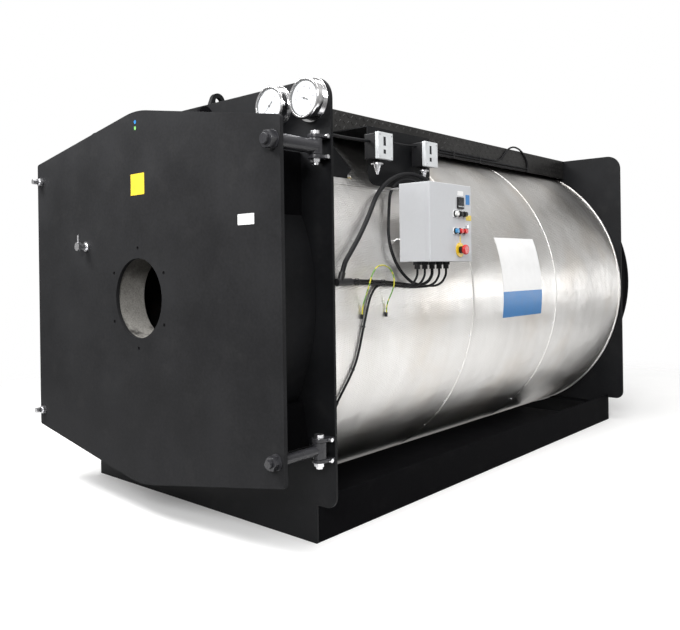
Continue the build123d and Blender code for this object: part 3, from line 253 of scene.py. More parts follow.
@dataclass(frozen=True)
class Finish:
    """A finish of some surface, made a material once."""

    name: str

    def cook(self, recipe: Recipe) -> None:
        """Build the nodes of the finish.

        Args:
            recipe: The tree that they go into.
        """
        raise NotImplementedError

    def material(self) -> bpy.types.Material:
        """Give the material, made on first use."""
        material = bpy.data.materials.get(self.name)
        if material is None:
            material = bpy.data.materials.new(self.name)
            self.cook(Recipe(material))
        return material


@dataclass(frozen=True)
class SatinPaint(Finish):
    """Sprayed paint on plate steel: fine orange peel, faint clouds and a dusting in patches."""

    colour: Colour
    roughness: float = 0.46
    grain: float = 0.0025
    depth: float = 0.00012
    cloud: float = 0.22
    dust: float = 0.1
    gloss: float = 0.22

    def cook(self, recipe: Recipe) -> None:
        """Build the nodes of the finish.

        Args:
            recipe: The tree that they go into.
        """
        clouds = recipe.noise(0.28, 6.0)
        speck = recipe.noise(0.012, 4.0)
        grain = recipe.noise(self.grain, 2.0)
        share = (clouds * 0.7 + speck * 0.3).ramp(0.32, 0.68)
        base = recipe.blend(share, shade(self.colour, 1 - self.cloud), shade(self.colour, 1 + self.cloud))
        dusty = recipe.noise(0.09, 6.0).ramp(0.52, 0.75, 0.0, self.dust)
        recipe.surface({
            "Base Color": recipe.blend(dusty, base, (0.11, 0.107, 0.103)),
            "Roughness": self.roughness + clouds.ramp(0.3, 0.7, -0.06, 0.07),
            "Specular IOR Level": self.gloss,
            "Normal": recipe.bump(grain, self.depth),
        })


@dataclass(frozen=True)
class EmbossedAluminium(Finish):
    """Aluminium sheet with a fine cross emboss, bent round a shell, with streaks and handling marks."""

    axis_height: float
    radius: float
    pitch: float = 0.0135
    depth: float = 0.0008

    def cook(self, recipe: Recipe) -> None:
        """Build the nodes of the finish.

        Args:
            recipe: The tree that they go into.
        """
        x, y, z = recipe.axes()
        arc = x.maths("ARCTAN2", x, z - self.axis_height) * self.radius
        flat = recipe.vector(y, arc, 0.0)
        wander = recipe.noise(0.05, 2.0, flat) * 0.02
        turn = 2 * math.pi / self.pitch
        rising = (y + arc * 0.62 + wander) * turn
        falling = (y * 0.7 - arc + wander) * turn
        emboss = (rising.maths("SINE", rising) * falling.maths("SINE", falling)).ramp(-0.2, 0.9)
        streaks = recipe.noise(1.0, 4.0, recipe.vector(y * 5.0, arc * 1.2, 0.0))
        smudge = recipe.noise(0.42, 3.0, flat)
        handled = recipe.noise(0.06, 5.0, flat)
        metal = recipe.blend(streaks.ramp(0.25, 0.75), (0.66, 0.645, 0.625), (0.76, 0.75, 0.735))
        warm = recipe.blend(smudge.ramp(0.45, 0.7, 0.0, 0.55), metal, (0.66, 0.61, 0.55))
        recipe.surface({
            "Base Color": warm,
            "Metallic": 1.0,
            "Roughness": 0.28 + streaks.ramp(0.3, 0.7, 0.0, 0.05) + handled.ramp(0.5, 0.7, 0.0, 0.05),
            "Normal": recipe.bump(emboss, self.depth, recipe.bump(smudge, 0.016)),
        })


@dataclass(frozen=True)
class BareMetal(Finish):
    """Metal without paint: plated, polished, brushed or with its mill scale, told by its values."""

    colour: Colour
    roughness: float = 0.3
    stain: Colour = (0.3, 0.29, 0.28)
    stained: float = 0.25
    grain: float = 0.004
    depth: float = 0.0001

    def cook(self, recipe: Recipe) -> None:
        """Build the nodes of the finish.

        Args:
            recipe: The tree that they go into.
        """
        blotch = recipe.noise(0.03, 5.0)
        grain = recipe.noise(self.grain, 3.0)
        recipe.surface({
            "Base Color": recipe.blend(blotch.ramp(0.45, 0.75, 0.0, self.stained), self.colour, self.stain),
            "Metallic": 1.0,
            "Roughness": self.roughness + blotch.ramp(0.4, 0.7, 0.0, 0.12),
            "Normal": recipe.bump(grain, self.depth),
        })


@dataclass(frozen=True)
class Moulding(Finish):
    """Moulded plastic, print, sheath or another even non-metal, with fine grain and faint clouds."""

    colour: Colour
    roughness: float = 0.4
    grain: float = 0.0012
    depth: float = 0.00003
    cloud: float = 0.07
    alpha: float = 1.0
    gloss: float = 0.5

    def cook(self, recipe: Recipe) -> None:
        """Build the nodes of the finish.

        Args:
            recipe: The tree that they go into.
        """
        clouds = recipe.noise(0.05, 4.0)
        grain = recipe.noise(self.grain, 2.0)
        recipe.surface({
            "Base Color": recipe.blend(
                clouds.ramp(0.35, 0.65),
                shade(self.colour, 1 - self.cloud), shade(self.colour, 1 + self.cloud)),
            "Roughness": self.roughness + clouds.ramp(0.35, 0.65, -0.03, 0.04),
            "Alpha": self.alpha,
            "Specular IOR Level": self.gloss,
            "Normal": recipe.bump(grain, self.depth),
        })


@dataclass(frozen=True)
class CastLining(Finish):
    """Cast fire-proof lining, or another rough mineral surface, with pores and a pale front edge: painted
    light at the front rim and lower part, painted shade deeper in and in the pores, broken by patches of
    wear.
    """

    colour: Colour
    pore: float = 0.006
    depth: float = 0.0016
    # Where along Y the pale front rim starts, and its colour: painted light at the mouth of the throat,
    # fading to painted shade deeper in; the default start puts the rim out of reach.
    rim: float = -10.0
    lit_rim_colour: Colour = (0.3, 0.29, 0.27)

    def cook(self, recipe: Recipe) -> None:
        """Build the nodes of the finish.

        Args:
            recipe: The tree that they go into.
        """
        pores = recipe.noise(self.pore, 5.0, roughness=0.7)
        patches = recipe.noise(0.09, 6.0)
        _, y, z = recipe.axes()
        # Paler at the front rim, darker deeper in: painted light at the mouth and painted shade inside,
        # broken by patches of wear.
        edge = (y + patches * 0.05).ramp(self.rim + 0.026, self.rim + 0.045, 1.0, 0.0)
        # The pale rim fades above 1.05 m: painted light on the lower part, painted shade on the upper part.
        low = (z + patches * 0.4).ramp(1.05, 1.3, 1.0, 0.25)
        sooty = recipe.blend(patches.ramp(0.4, 0.7, 0.0, 0.55), self.colour, shade(self.colour, 0.45))
        # Mixes in the pale rim colour: painted light and shade, broken by patches of wear.
        lit_rim_and_wear = recipe.blend(edge * low * patches.ramp(0.3, 0.5), sooty, self.lit_rim_colour)
        recipe.surface({
            # Darker in the pores, the bump's low places: painted shade in the pores.
            "Base Color": recipe.blend(pores.ramp(0.35, 0.6, 0.35, 0.0), lit_rim_and_wear, shade(self.colour, 0.3)),
            "Roughness": 0.92,
            "Specular IOR Level": 0.2,
            "Normal": recipe.bump(pores, self.depth),
        })


@dataclass(frozen=True)
class StripedSheath(Finish):
    """A wire sheath in two colours that change along the wire."""

    first: Colour
    second: Colour
    pitch: float = 0.03

    def cook(self, recipe: Recipe) -> None:
        """Build the nodes of the finish.

        Args:
            recipe: The tree that they go into.
        """
        bands = recipe.noise(self.pitch, 1.0).ramp(0.47, 0.53)
        recipe.surface({
            "Base Color": recipe.blend(bands, self.first, self.second),
            "Roughness": 0.42,
            "Normal": recipe.bump(recipe.noise(0.002, 2.0), 0.00005),
        })


@dataclass(frozen=True)
class FadingFloor(Finish):
    """A pale floor that fades into the white surround at a distance from a place on it."""

    level: float
    glow: float
    middle: tuple[float, float]
    start: float
    end: float

    def cook(self, recipe: Recipe) -> None:
        """Build the nodes of the finish.

        Args:
            recipe: The tree that they go into.
        """
        x, y, _ = recipe.axes()
        across, along = x - self.middle[0], y - self.middle[1]
        away = (across * across + along * along) ** 0.5
        recipe.surface({
            "Base Color": (self.level, self.level, self.level),
            "Roughness": 0.8,
            "Specular IOR Level": 0.1,
            "Emission Color": (1.0, 1.0, 1.0, 1.0),
            "Emission Strength": self.glow,
            "Alpha": away.ramp(self.start, self.end, 1.0, 0.0),
        })


DOOR_PAINT = SatinPaint(
    "door_charcoal_paint", (0.023, 0.0232, 0.0245), 0.54, cloud=0.2, dust=0.04, gloss=0.03)
PLATE_PAINT = SatinPaint("plate_black_paint", (0.009, 0.0093, 0.0103), 0.46, dust=0.04, gloss=0.1)
FRAME_PAINT = SatinPaint("frame_black_paint", (0.005, 0.005, 0.0057), 0.6, dust=0.02, gloss=0.01)
TREAD_PAINT = SatinPaint("tread_black_paint", (0.016, 0.0155, 0.015), 0.34, cloud=0.3, dust=0.08, gloss=0.3)
FORGED_PAINT = SatinPaint(
    "forged_black_paint", (0.03, 0.03, 0.034), 0.3, grain=0.004, depth=0.0002, gloss=0.4)
CLADDING_METAL = EmbossedAluminium("cladding_embossed_aluminium", 0.836, 0.803)
ZINC = BareMetal("zinc_plate", (0.74, 0.74, 0.76), 0.26)
POLISHED = BareMetal("polished_steel", (0.86, 0.86, 0.87), 0.09, stained=0.06, depth=0.00002)
MILL_STEEL = BareMetal(
    "mill_scale_steel", (0.07, 0.067, 0.066), 0.42, (0.1, 0.065, 0.045), 0.6, 0.01, 0.0004)
CABINET_PAINT = SatinPaint("cabinet_grey_paint", (0.6, 0.61, 0.63), 0.4, 0.0014, 0.00009, 0.02, 0.03)
# Only the fire clay has its pale rim in reach: painted light at the throat's mouth and lower part, painted
# shade deeper in.
FIRE_CLAY = CastLining("fire_clay", (0.045, 0.042, 0.039), rim=0.0)
MINERAL_WOOL = CastLining("mineral_wool", (0.45, 0.37, 0.2), 0.003, 0.003)
GLASS_ROPE = CastLining("glass_rope", (0.72, 0.7, 0.64), 0.004, 0.002)
BLACK_PLASTIC = Moulding("black_plastic", (0.012, 0.012, 0.013), 0.42, gloss=0.25)
SHEATH = Moulding("black_sheath", (0.009, 0.009, 0.01), 0.5, gloss=0.15)
COVER_PLASTIC = Moulding("pale_cover", (0.62, 0.64, 0.65), 0.36)
DARK_GLASS = Moulding("dark_window", (0.02, 0.022, 0.025), 0.12)
DIAL_WHITE = Moulding("dial_white", (0.84, 0.85, 0.88), 0.35)
DIAL_INK = Moulding("dial_ink", (0.012, 0.012, 0.014), 0.5)
CLEAR_GLASS = Moulding("clear_glass", (0.9, 0.92, 0.93), 0.03, depth=0.0, alpha=0.1)
YELLOW_PRINT = Moulding("yellow_print", (0.82, 0.6, 0.04), 0.34)
WHITE_PRINT = Moulding("white_print", (0.9, 0.9, 0.9), 0.34, cloud=0.02)
BLUE_PRINT = Moulding("blue_print", (0.02, 0.2, 0.52), 0.34, cloud=0.03)
GREEN_PRINT = Moulding("green_print", (0.2, 0.5, 0.14), 0.34)
SIGNAL_RED = Moulding("signal_red", (0.62, 0.02, 0.02), 0.24)
SIGNAL_YELLOW = Moulding("signal_yellow", (0.86, 0.58, 0.02), 0.28)
SIGNAL_BLUE = Moulding("signal_blue", (0.05, 0.28, 0.55), 0.24)
SIGNAL_WHITE = Moulding("signal_white", (0.82, 0.82, 0.8), 0.24)
EARTH_SHEATH = StripedSheath("earth_wire_sheath", (0.1, 0.26, 0.03), (0.55, 0.5, 0.03))
STUDIO_FLOOR = FadingFloor("studio_floor", 0.88, 0.16, (0.1, -0.1), 2.4, 4.6)

SLOTS = {part["node"]: part["material_slot"] for part in frame["record"]["subparts"]}
ROUND_STEEL = SLOTS["hinge_pins"]
FACING = 0.9


def only(shape: bpy.types.Object) -> None:
    """Make one object the only selected one, and the active one."""
    bpy.ops.object.select_all(action="DESELECT")
    shape.select_set(True)
    bpy.context.view_layer.objects.active = shape


def dress(finish: Finish, *nodes: str) -> None:
    """Give carried-over nodes a finish.

    Args:
        finish: The finish.
        nodes: The nodes' names.
    """
    for node in nodes:
        shape = frame["nodes"][node]
        shape.data.materials.clear()
        shape.data.materials.append(finish.material())


class Workpiece:
    """One mesh that is modelled by hand: a primitive, edit-mode operators and applied modifiers."""

    def __init__(self, shape: bpy.types.Object) -> None:
        """Take an object to work on, and bring its place into its mesh."""
        self.shape = shape
        only(shape)
        bpy.ops.object.transform_apply(location=True, rotation=True, scale=True)

    @classmethod
    def block(cls, low: Sequence[float], high: Sequence[float]) -> "Workpiece":
        """Start from a block between two corners.

        Args:
            low: Its lowest corner.
            high: Its highest corner.

        Returns:
            The workpiece.
        """
        bpy.ops.object.select_all(action="DESELECT")
        first, last = Vector(low), Vector(high)
        bpy.ops.mesh.primitive_cube_add(size=1.0, location=(first + last) / 2)
        bpy.context.object.scale = last - first
        return cls(bpy.context.object)

    @classmethod
    def round(cls, centre: Sequence[float], radius: float, length: float, axis: Axis,
              sides: int = 48) -> "Workpiece":
        """Start from a cylinder.

        Args:
            centre: Its middle.
            radius: Its radius.
            length: Its length.
            axis: The way that it points.
            sides: How many sides it has.

        Returns:
            The workpiece.
        """
        bpy.ops.object.select_all(action="DESELECT")
        bpy.ops.mesh.primitive_cylinder_add(
            vertices=sides, radius=radius, depth=length, location=centre, rotation=axis.value)
        return cls(bpy.context.object)

    @classmethod
    def torus(cls, centre: Sequence[float], major: float, minor: float, axis: Axis,
              sides: int = 64) -> "Workpiece":
        """Start from a torus.

        Args:
            centre: Its middle.
            major: The radius of its ring.
            minor: The radius of its section.
            axis: The direction of its hole.
            sides: How many segments the ring has.

        Returns:
            The workpiece.
        """
        bpy.ops.object.select_all(action="DESELECT")
        bpy.ops.mesh.primitive_torus_add(
            major_radius=major, minor_radius=minor, major_segments=sides, minor_segments=12,
            location=centre, rotation=axis.value)
        return cls(bpy.context.object)

    @classmethod
    def node_copy(cls, node: str) -> "Workpiece":
        """Start from a copy of a carried-over node, with its triangles merged to flat faces.

        Args:
            node: The node's name.

        Returns:
            The workpiece.
        """
        source = frame["nodes"][node]
        shape = bpy.data.objects.new(node + "_work", source.data.copy())
        bpy.context.scene.collection.objects.link(shape)
        work = cls(shape)
        shape.data.materials.clear()
        bpy.ops.object.mode_set(mode="EDIT")
        bpy.ops.mesh.select_all(action="SELECT")
        bpy.ops.mesh.remove_doubles(threshold=0.00002)
        bpy.ops.mesh.customdata_custom_splitnormals_clear()
        bpy.ops.mesh.dissolve_limited(angle_limit=math.radians(0.3))
        bpy.ops.object.mode_set(mode="OBJECT")
        return work

    def on_faces(self, test: Callable[[Vector, Vector], bool], *steps: Callable[[], Any]) -> "Workpiece":
        """Run edit-mode operators on chosen faces.

        Args:
            test: Tells from a face's centre and normal whether it is chosen.
            steps: The operators, each as a call without arguments.

        Returns:
            The workpiece itself.
        """
        return self._edit((False, False, True), test, steps)

    def on_edges(self, test: Callable[[Vector, Vector], bool], *steps: Callable[[], Any]) -> "Workpiece":
        """Run edit-mode operators on chosen edges, as on_faces does, by their middle and their run."""
        return self._edit((False, True, False), test, steps)

    def _edit(self, mode: tuple[bool, bool, bool], test: Callable[[Vector, Vector], bool],
              steps: Sequence[Callable[[], Any]]) -> "Workpiece":
        """Select by a test, and run the steps in edit mode.

        Args:
            mode: Whether vertices, edges and faces are chosen.
            test: The test.
            steps: The operators.

        Returns:
            The workpiece itself.
        """
        only(self.shape)
        mesh = self.shape.data
        bpy.context.tool_settings.mesh_select_mode = mode
        bpy.ops.object.mode_set(mode="EDIT")
        bpy.ops.mesh.select_all(action="DESELECT")
        bpy.ops.object.mode_set(mode="OBJECT")
        if mode[2]:
            for face in mesh.polygons:
                face.select = test(face.center, face.normal)
        else:
            for edge in mesh.edges:
                first, last = (mesh.vertices[index].co for index in edge.vertices)
                edge.select = test((first + last) / 2, last - first)
        bpy.ops.object.mode_set(mode="EDIT")
        for step in steps:
            step()
        bpy.ops.object.mode_set(mode="OBJECT")
        return self

    def modifier(self, kind: str, **settings: Any) -> "Workpiece":
        """Add a modifier and apply it.

        Args:
            kind: Its type.
            settings: Its settings.

        Returns:
            The workpiece itself.
        """
        only(self.shape)
        added = self.shape.modifiers.new(kind.lower(), kind)
        for key, value in settings.items():
            setattr(added, key, value)
        bpy.ops.object.modifier_apply(modifier=added.name)
        return self

    def bevel(self, width: float, segments: int = 2, angle: float = 32.0) -> "Workpiece":
        """Round all edges sharper than an angle in degrees."""
        return self.modifier(
            "BEVEL", width=width, segments=segments, limit_method="ANGLE", angle_limit=math.radians(angle),
            use_clamp_overlap=True, harden_normals=False)

    def copies(self, places: Sequence[Matrix]) -> "Workpiece":
        """Turn the mesh into one copy for each place, joined to one piece.

        Args:
            places: The matrices that bring the mesh to its places.

        Returns:
            The workpiece itself.
        """
        twins = []
        for place in places:
            twin = bpy.data.objects.new(self.shape.name, self.shape.data.copy())
            twin.data.transform(place)
            bpy.context.scene.collection.objects.link(twin)
            twins.append(twin)
        bpy.data.objects.remove(self.shape)
        return self._join(twins)

    def plus(self, *others: "Workpiece") -> "Workpiece":
        """Join other workpieces to this one."""
        return self._join([self.shape, *(other.shape for other in others)])

    def _join(self, shapes: Sequence[bpy.types.Object]) -> "Workpiece":
        """Join objects to the first of them.

        Args:
            shapes: The objects.

        Returns:
            The workpiece itself.
        """
        only(shapes[0])
        for shape in shapes:
            shape.select_set(True)
        bpy.ops.object.join()
        self.shape = shapes[0]
        return self

    def smooth(self, angle: float = 35.0) -> "Workpiece":
        """Shade smooth, but for edges sharper than an angle in degrees."""
        only(self.shape)
        bpy.ops.object.shade_smooth_by_angle(angle=math.radians(angle))
        return self

    def done(self, name: str, body: Body, finish: Finish, slot: str = "",
             stands_for: Sequence[str] = ()) -> bpy.types.Object:
        """Finish the piece.

        Args:
            name: The piece's name.
            body: The body that it rides on.
            finish: Its finish.
            slot: The record's material slot, if it isn't that of the first node it stands for; it is not
                used.
            stands_for: The nodes that it replaces.

        Returns:
            The finished object.
        """
        self.smooth()
        self.modifier("WEIGHTED_NORMAL", keep_sharp=True)
        self.shape.name = name
        self.shape.data.name = name
        self.shape.data.materials.clear()
        self.shape.data.materials.append(finish.material())
        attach(self.shape, body.value)
        if stands_for:
            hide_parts(*stands_for)
        log.info("%s: %d faces", name, len(self.shape.data.polygons))
        return self.shape


def softened(node: str, finish: Finish, width: float, body: Body = Body.BOILER,
             segments: int = 2) -> bpy.types.Object:
    """Stand in for a node with a copy whose edges are rounded.

    Args:
        node: The node's name.
        finish: Its finish.
        width: The width of the rounding in metres.
        body: The body that it rides on.
        segments: How many steps the rounding has.

    Returns:
        The finished object.
    """
    work = Workpiece.node_copy(node).bevel(width, segments)
    return work.done(node + "_finished", body, finish, stands_for=(node,))


def shift(x: float = 0.0, y: float = 0.0, z: float = 0.0) -> Matrix:
    """Give the matrix of a move."""
    return Matrix.Translation((x, y, z))


def remove_faces() -> None:
    """Delete the chosen faces in edit mode."""
    bpy.ops.mesh.delete(type="FACE")


def bare_plate(low: Sequence[float], high: Sequence[float], outward: Vector, corner: float,
               rim: float) -> Workpiece:
    """Make a thin plate with round corners and a faint rim, and nothing on it.

    Args:
        low: Its lowest corner.
        high: Its highest corner.
        outward: The way that it faces.
        corner: The radius of its corners.
        rim: The width of its rim.

    Returns:
        The workpiece.
    """
    plate = Workpiece.block(low, high)
    plate.on_edges(
        lambda middle, run: abs(run.dot(outward)) > 0.1 * MM,
        lambda: bpy.ops.mesh.bevel(offset=corner, segments=3))
    return plate.on_faces(
        lambda centre, normal: normal.dot(outward) > FACING,
        lambda: bpy.ops.mesh.inset(thickness=rim),
        lambda: bpy.ops.transform.translate(value=outward * -0.2 * MM))


@dataclass
class StructureWork:
    """End plates, base frame, deck, lifting lugs and gussets."""

    edge: float = 1.6 * MM
    beam_edge: float = 2.5 * MM
    deck_edge: float = 1.0 * MM

    def build(self) -> None:
        """Finish the plates and frame pieces."""
        for node in ("front_plate", "rear_plate"):
            softened(node, PLATE_PAINT, self.edge)
        for node in ("base_beam_left", "base_beam_right"):
            softened(node, FRAME_PAINT, self.beam_edge)
        dress(FRAME_PAINT, "base_bearers")
        softened("base_deck", FRAME_PAINT, self.deck_edge)
        for node in ("lifting_lugs", "gussets"):
            softened(node, PLATE_PAINT, self.edge)
        dress(ZINC, "earth_stud")
        log.info("structure done")


@dataclass
class CladdingWork:
    """Cladding sheets, their screws, the gusset patches and the blank label on the side."""

    axis_height: float = 0.836
    radius: float = 0.803
    screw_radius: float = 5 * MM
    screw_height: float = 2 * MM
    screw_lift: float = 0.6 * MM
    dome_inset: float = 1.8 * MM
    dome_rise: float = 1.2 * MM
    screw_count: int = 30
    screw_inset: float = 22 * MM
    hidden_share: float = 0.62
    label_start: float = 1.205
    label_end: float = 1.60
    label_low: float = -7.6
    label_band: float = 1.0
    label_high: float = 20.0
    label_lift: float = 0.2 * MM
    label_thickness: float = 0.7 * MM
    label_facets: int = 900

    def build(self) -> None:
        """Finish the sheets and add what is on them."""
        dress(CLADDING_METAL, "cladding_front", "cladding_middle", "cladding_rear", "gusset_flashings")
        dress(MINERAL_WOOL, "insulation")
        self._screws()
        self._label("cladding_label_field", self.label_band, self.label_high, WHITE_PRINT)
        self._label("cladding_label_band", self.label_low, self.label_band, BLUE_PRINT)
        log.info("cladding done")

    def _label(self, name: str, low: float, high: float, finish: Finish) -> None:
        """Stick one plain field of the blank label on the right side of the shell.

        Args:
            name: The piece's name.
            low: The angle of its lower edge above the shell's axis, in degrees.
            high: The angle of its upper edge.
            finish: Its finish.
        """
        middle = Vector((0, (self.label_start + self.label_end) / 2, self.axis_height))
        width = self.label_end - self.label_start
        sheet = Workpiece.round(middle, self.radius + self.label_lift, width, Axis.Y, self.label_facets)
        sheet.on_faces(
            lambda centre, normal: abs(normal.y) > 0.5 or not low < math.degrees(
                math.atan2(centre.z - self.axis_height, centre.x)) < high,
            remove_faces)
        sheet.modifier("SOLIDIFY", thickness=self.label_thickness, offset=1.0)
        sheet.done(name, Body.BOILER, finish, SLOTS["cladding_front"])

    def _screws(self) -> None:
        """Set a ring of dome screws beside each seam, clear of the walkway above and the deck below."""
        head = Workpiece.round((0, 0, 0), self.screw_radius, self.screw_height, Axis.Z, 12)
        head.on_faces(
            lambda centre, normal: normal.z > FACING,
            lambda: bpy.ops.mesh.inset(thickness=self.dome_inset),
            lambda: bpy.ops.transform.translate(value=(0, 0, self.dome_rise)))
        places = []
        for sheet in ("cladding_front", "cladding_middle"):
            seam = shift(0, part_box(sheet)[1].y - self.screw_inset, self.axis_height)
            for step in range(self.screw_count):
                angle = 2 * math.pi * (step + 0.5) / self.screw_count
                if abs(math.sin(angle)) >= self.hidden_share:
                    outward = Matrix.Rotation(angle, 4, "Y")
                    places.append(seam @ outward @ shift(0, 0, self.radius + self.screw_lift))
        head.copies(places).done("cladding_screws", Body.BOILER, ZINC, ROUND_STEEL)


@dataclass
class TreadWork:
    """The walkway over the shell, with raised studs on its top and skirts."""

    edge: float = 1.5 * MM
    stud_length: float = 21 * MM
    stud_width: float = 6.5 * MM
    stud_height: float = 1.3 * MM
    stud_slant: float = 45.0
    pitch: float = 27 * MM
    margin: float = 16 * MM
    nozzle_reach: float = 88 * MM
    lug_reach: float = 28 * MM
    lug_run: float = 145 * MM

    def build(self) -> None:
        """Finish the sheet and lay the studs on it."""
        softened("walkway_cover", TREAD_PAINT, self.edge)
        boxes = [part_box(node) for node in ("flow_nozzle", "return_nozzle")]
        self.nozzles = [(corner + far_corner) / 2 for corner, far_corner in boxes]
        low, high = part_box("lifting_lugs")
        self.lugs = (low.y + self.lug_run, high.y - self.lug_run)
        low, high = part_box("walkway_cover")
        self._field("walkway_top_studs", low, high, side=0)
        self._field("walkway_skirt_studs_left", low, high, side=-1)
        self._field("walkway_skirt_studs_right", low, high, side=1)
        log.info("walkway done")

    def _stud(self) -> Workpiece:
        """Model one lozenge stud that lies on the ground plane and points along Y."""
        stud = Workpiece.round((0, 0, self.stud_height / 2), 0.5, self.stud_height, Axis.Z, 8)
        stud.shape.scale = (self.stud_width, self.stud_length, 1)
        bpy.ops.object.transform_apply(location=False, rotation=False, scale=True)
        stud.on_faces(
            lambda centre, normal: normal.z > FACING,
            lambda: bpy.ops.transform.resize(value=(0.6, 0.75, 1)))
        return stud.on_faces(lambda centre, normal: normal.z < -FACING, remove_faces)

    def _field(self, name: str, low: Vector, high: Vector, side: int) -> None:
        """Cover the top or one skirt with studs, turned one way and the other in turn.

        Args:
            name: The piece's name.
            low: The walkway's lowest corner.
            high: Its highest corner.
            side: The skirt's side, 1 for right and -1 for left, or 0 for the top.
        """
        across = (high.z - low.z if side else high.x - low.x) - 2 * self.margin
        rows = int(across / self.pitch) + 1
        columns = int((high.y - low.y - 2 * self.margin) / self.pitch) + 1
        slant = math.radians(self.stud_slant)
        halves = []
        for parity in (0, 1):
            row = self._stud().copies([
                shift(0, (column - (columns - 1) / 2) * self.pitch)
                @ Matrix.Rotation(slant if (parity + column) % 2 else -slant, 4, "Z")
                for column in range(columns)])
            halves.append(row.copies([
                shift((number - (rows - 1) / 2) * self.pitch) for number in range(parity, rows, 2)]))
        middle = (low + high) / 2
        place = shift(0, middle.y, high.z)
        if side:
            place = shift(side * high.x, middle.y, middle.z) @ Matrix.Rotation(side * math.pi / 2, 4, "Y")
        sheet = halves[0].plus(halves[1]).copies([place])
        if not side:
            sheet.on_faces(
                lambda centre, normal: self._in_the_way(
                    self._cell(centre.x, 0.0, rows), self._cell(centre.y, middle.y, columns)),
                remove_faces)
        sheet.done(name, Body.BOILER, TREAD_PAINT, SLOTS["walkway_cover"])

    def _cell(self, value: float, middle: float, count: int) -> float:
        """Give the middle of the stud's cell that a place lies in, along one direction.

        Args:
            value: The place.
            middle: The middle of the field.
            count: How many studs the field has in this direction.

        Returns:
            The middle of the cell.
        """
        first = (count - 1) / 2
        return middle + (round((value - middle) / self.pitch + first) - first) * self.pitch

    def _in_the_way(self, x: float, y: float) -> bool:
        """Tell whether a nozzle or a lifting lug stands at a place on the top.

        Args:
            x: The place across the boiler.
            y: The place along it.

        Returns:
            Whether something stands there.
        """
        if any(math.hypot(x - nozzle.x, y - nozzle.y) < self.nozzle_reach for nozzle in self.nozzles):
            return True
        return abs(x) < self.lug_reach and not self.lugs[0] < y < self.lugs[1]


@dataclass
class DoorWork:
    """The burner door with its lining, hinges, bolts, sight glass and bare label plates."""

    plate_edge: float = 1.6 * MM
    box_edge: float = 1.5 * MM
    forged_edge: float = 1.2 * MM
    bolt_edge: float = 1.0 * MM
    fine_edge: float = 0.8 * MM
    label_thickness: float = 0.8 * MM
    label_corner: float = 3 * MM
    label_rim: float = 2.5 * MM
    dot_x: float = -5 * MM
    dot_radius: float = 7.5 * MM

    def build(self) -> None:
        """Finish the door's pieces."""
        softened("door_plate", DOOR_PAINT, self.plate_edge, Body.DOOR)
        dress(PLATE_PAINT, "door_drum")
        for node in ("door_boxes_upper", "door_boxes_lower", "door_lifting_eyes"):
            softened(node, FRAME_PAINT, self.box_edge, Body.DOOR)
        dress(FIRE_CLAY, "door_refractory")
        dress(GLASS_ROPE, "door_seal")
        for node, finish, width, body in (
                ("hinge_bar_upper", FORGED_PAINT, self.forged_edge, Body.DOOR),
                ("hinge_bar_lower", FORGED_PAINT, self.forged_edge, Body.DOOR),
                ("hinge_nuts", FORGED_PAINT, self.fine_edge, Body.DOOR),
                ("closing_bolts", ZINC, self.bolt_edge, Body.DOOR),
                ("sight_port", ZINC, self.fine_edge, Body.DOOR),
                ("hinge_ears", FORGED_PAINT, self.forged_edge, Body.BOILER),
                ("hinge_pins", ZINC, self.fine_edge, Body.BOILER),
                ("closing_anchors", FRAME_PAINT, self.bolt_edge, Body.BOILER)):
            softened(node, finish, width, body)
        self.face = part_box("door_plate")[0].y
        self._label("door_yellow_plate", (-0.040, 1.276), (0.053, 1.360), YELLOW_PRINT)
        self._label("door_white_plate", (0.603, 1.128), (0.686, 1.165), WHITE_PRINT)
        self._dot("door_blue_dot", 1.564, BLUE_PRINT)
        self._dot("door_green_dot", 1.540, GREEN_PRINT)
        log.info("door done")

    def _label(self, name: str, low: tuple[float, float], high: tuple[float, float],
               finish: Finish) -> None:
        """Put a thin blank plate on the door.

        Args:
            name: The piece's name.
            low: Its lowest corner in X and Z.
            high: Its highest corner in X and Z.
            finish: Its finish.
        """
        plate = bare_plate(
            (low[0], self.face - self.label_thickness, low[1]), (high[0], self.face, high[1]),
            Vector((0, -1, 0)), self.label_corner, self.label_rim)
        plate.done(name, Body.DOOR, finish, SLOTS["door_plate"])

    def _dot(self, name: str, z: float, finish: Finish) -> None:
        """Put a small round sticker on the door.

        Args:
            name: The piece's name.
            z: Its height.
            finish: Its finish.
        """
        centre = (self.dot_x, self.face - self.label_thickness / 2, z)
        sticker = Workpiece.round(centre, self.dot_radius, self.label_thickness, Axis.Y, 24)
        sticker.on_faces(
            lambda centre, normal: normal.y < -FACING, lambda: bpy.ops.mesh.inset(thickness=MM))
        sticker.done(name, Body.DOOR, finish, SLOTS["door_plate"])


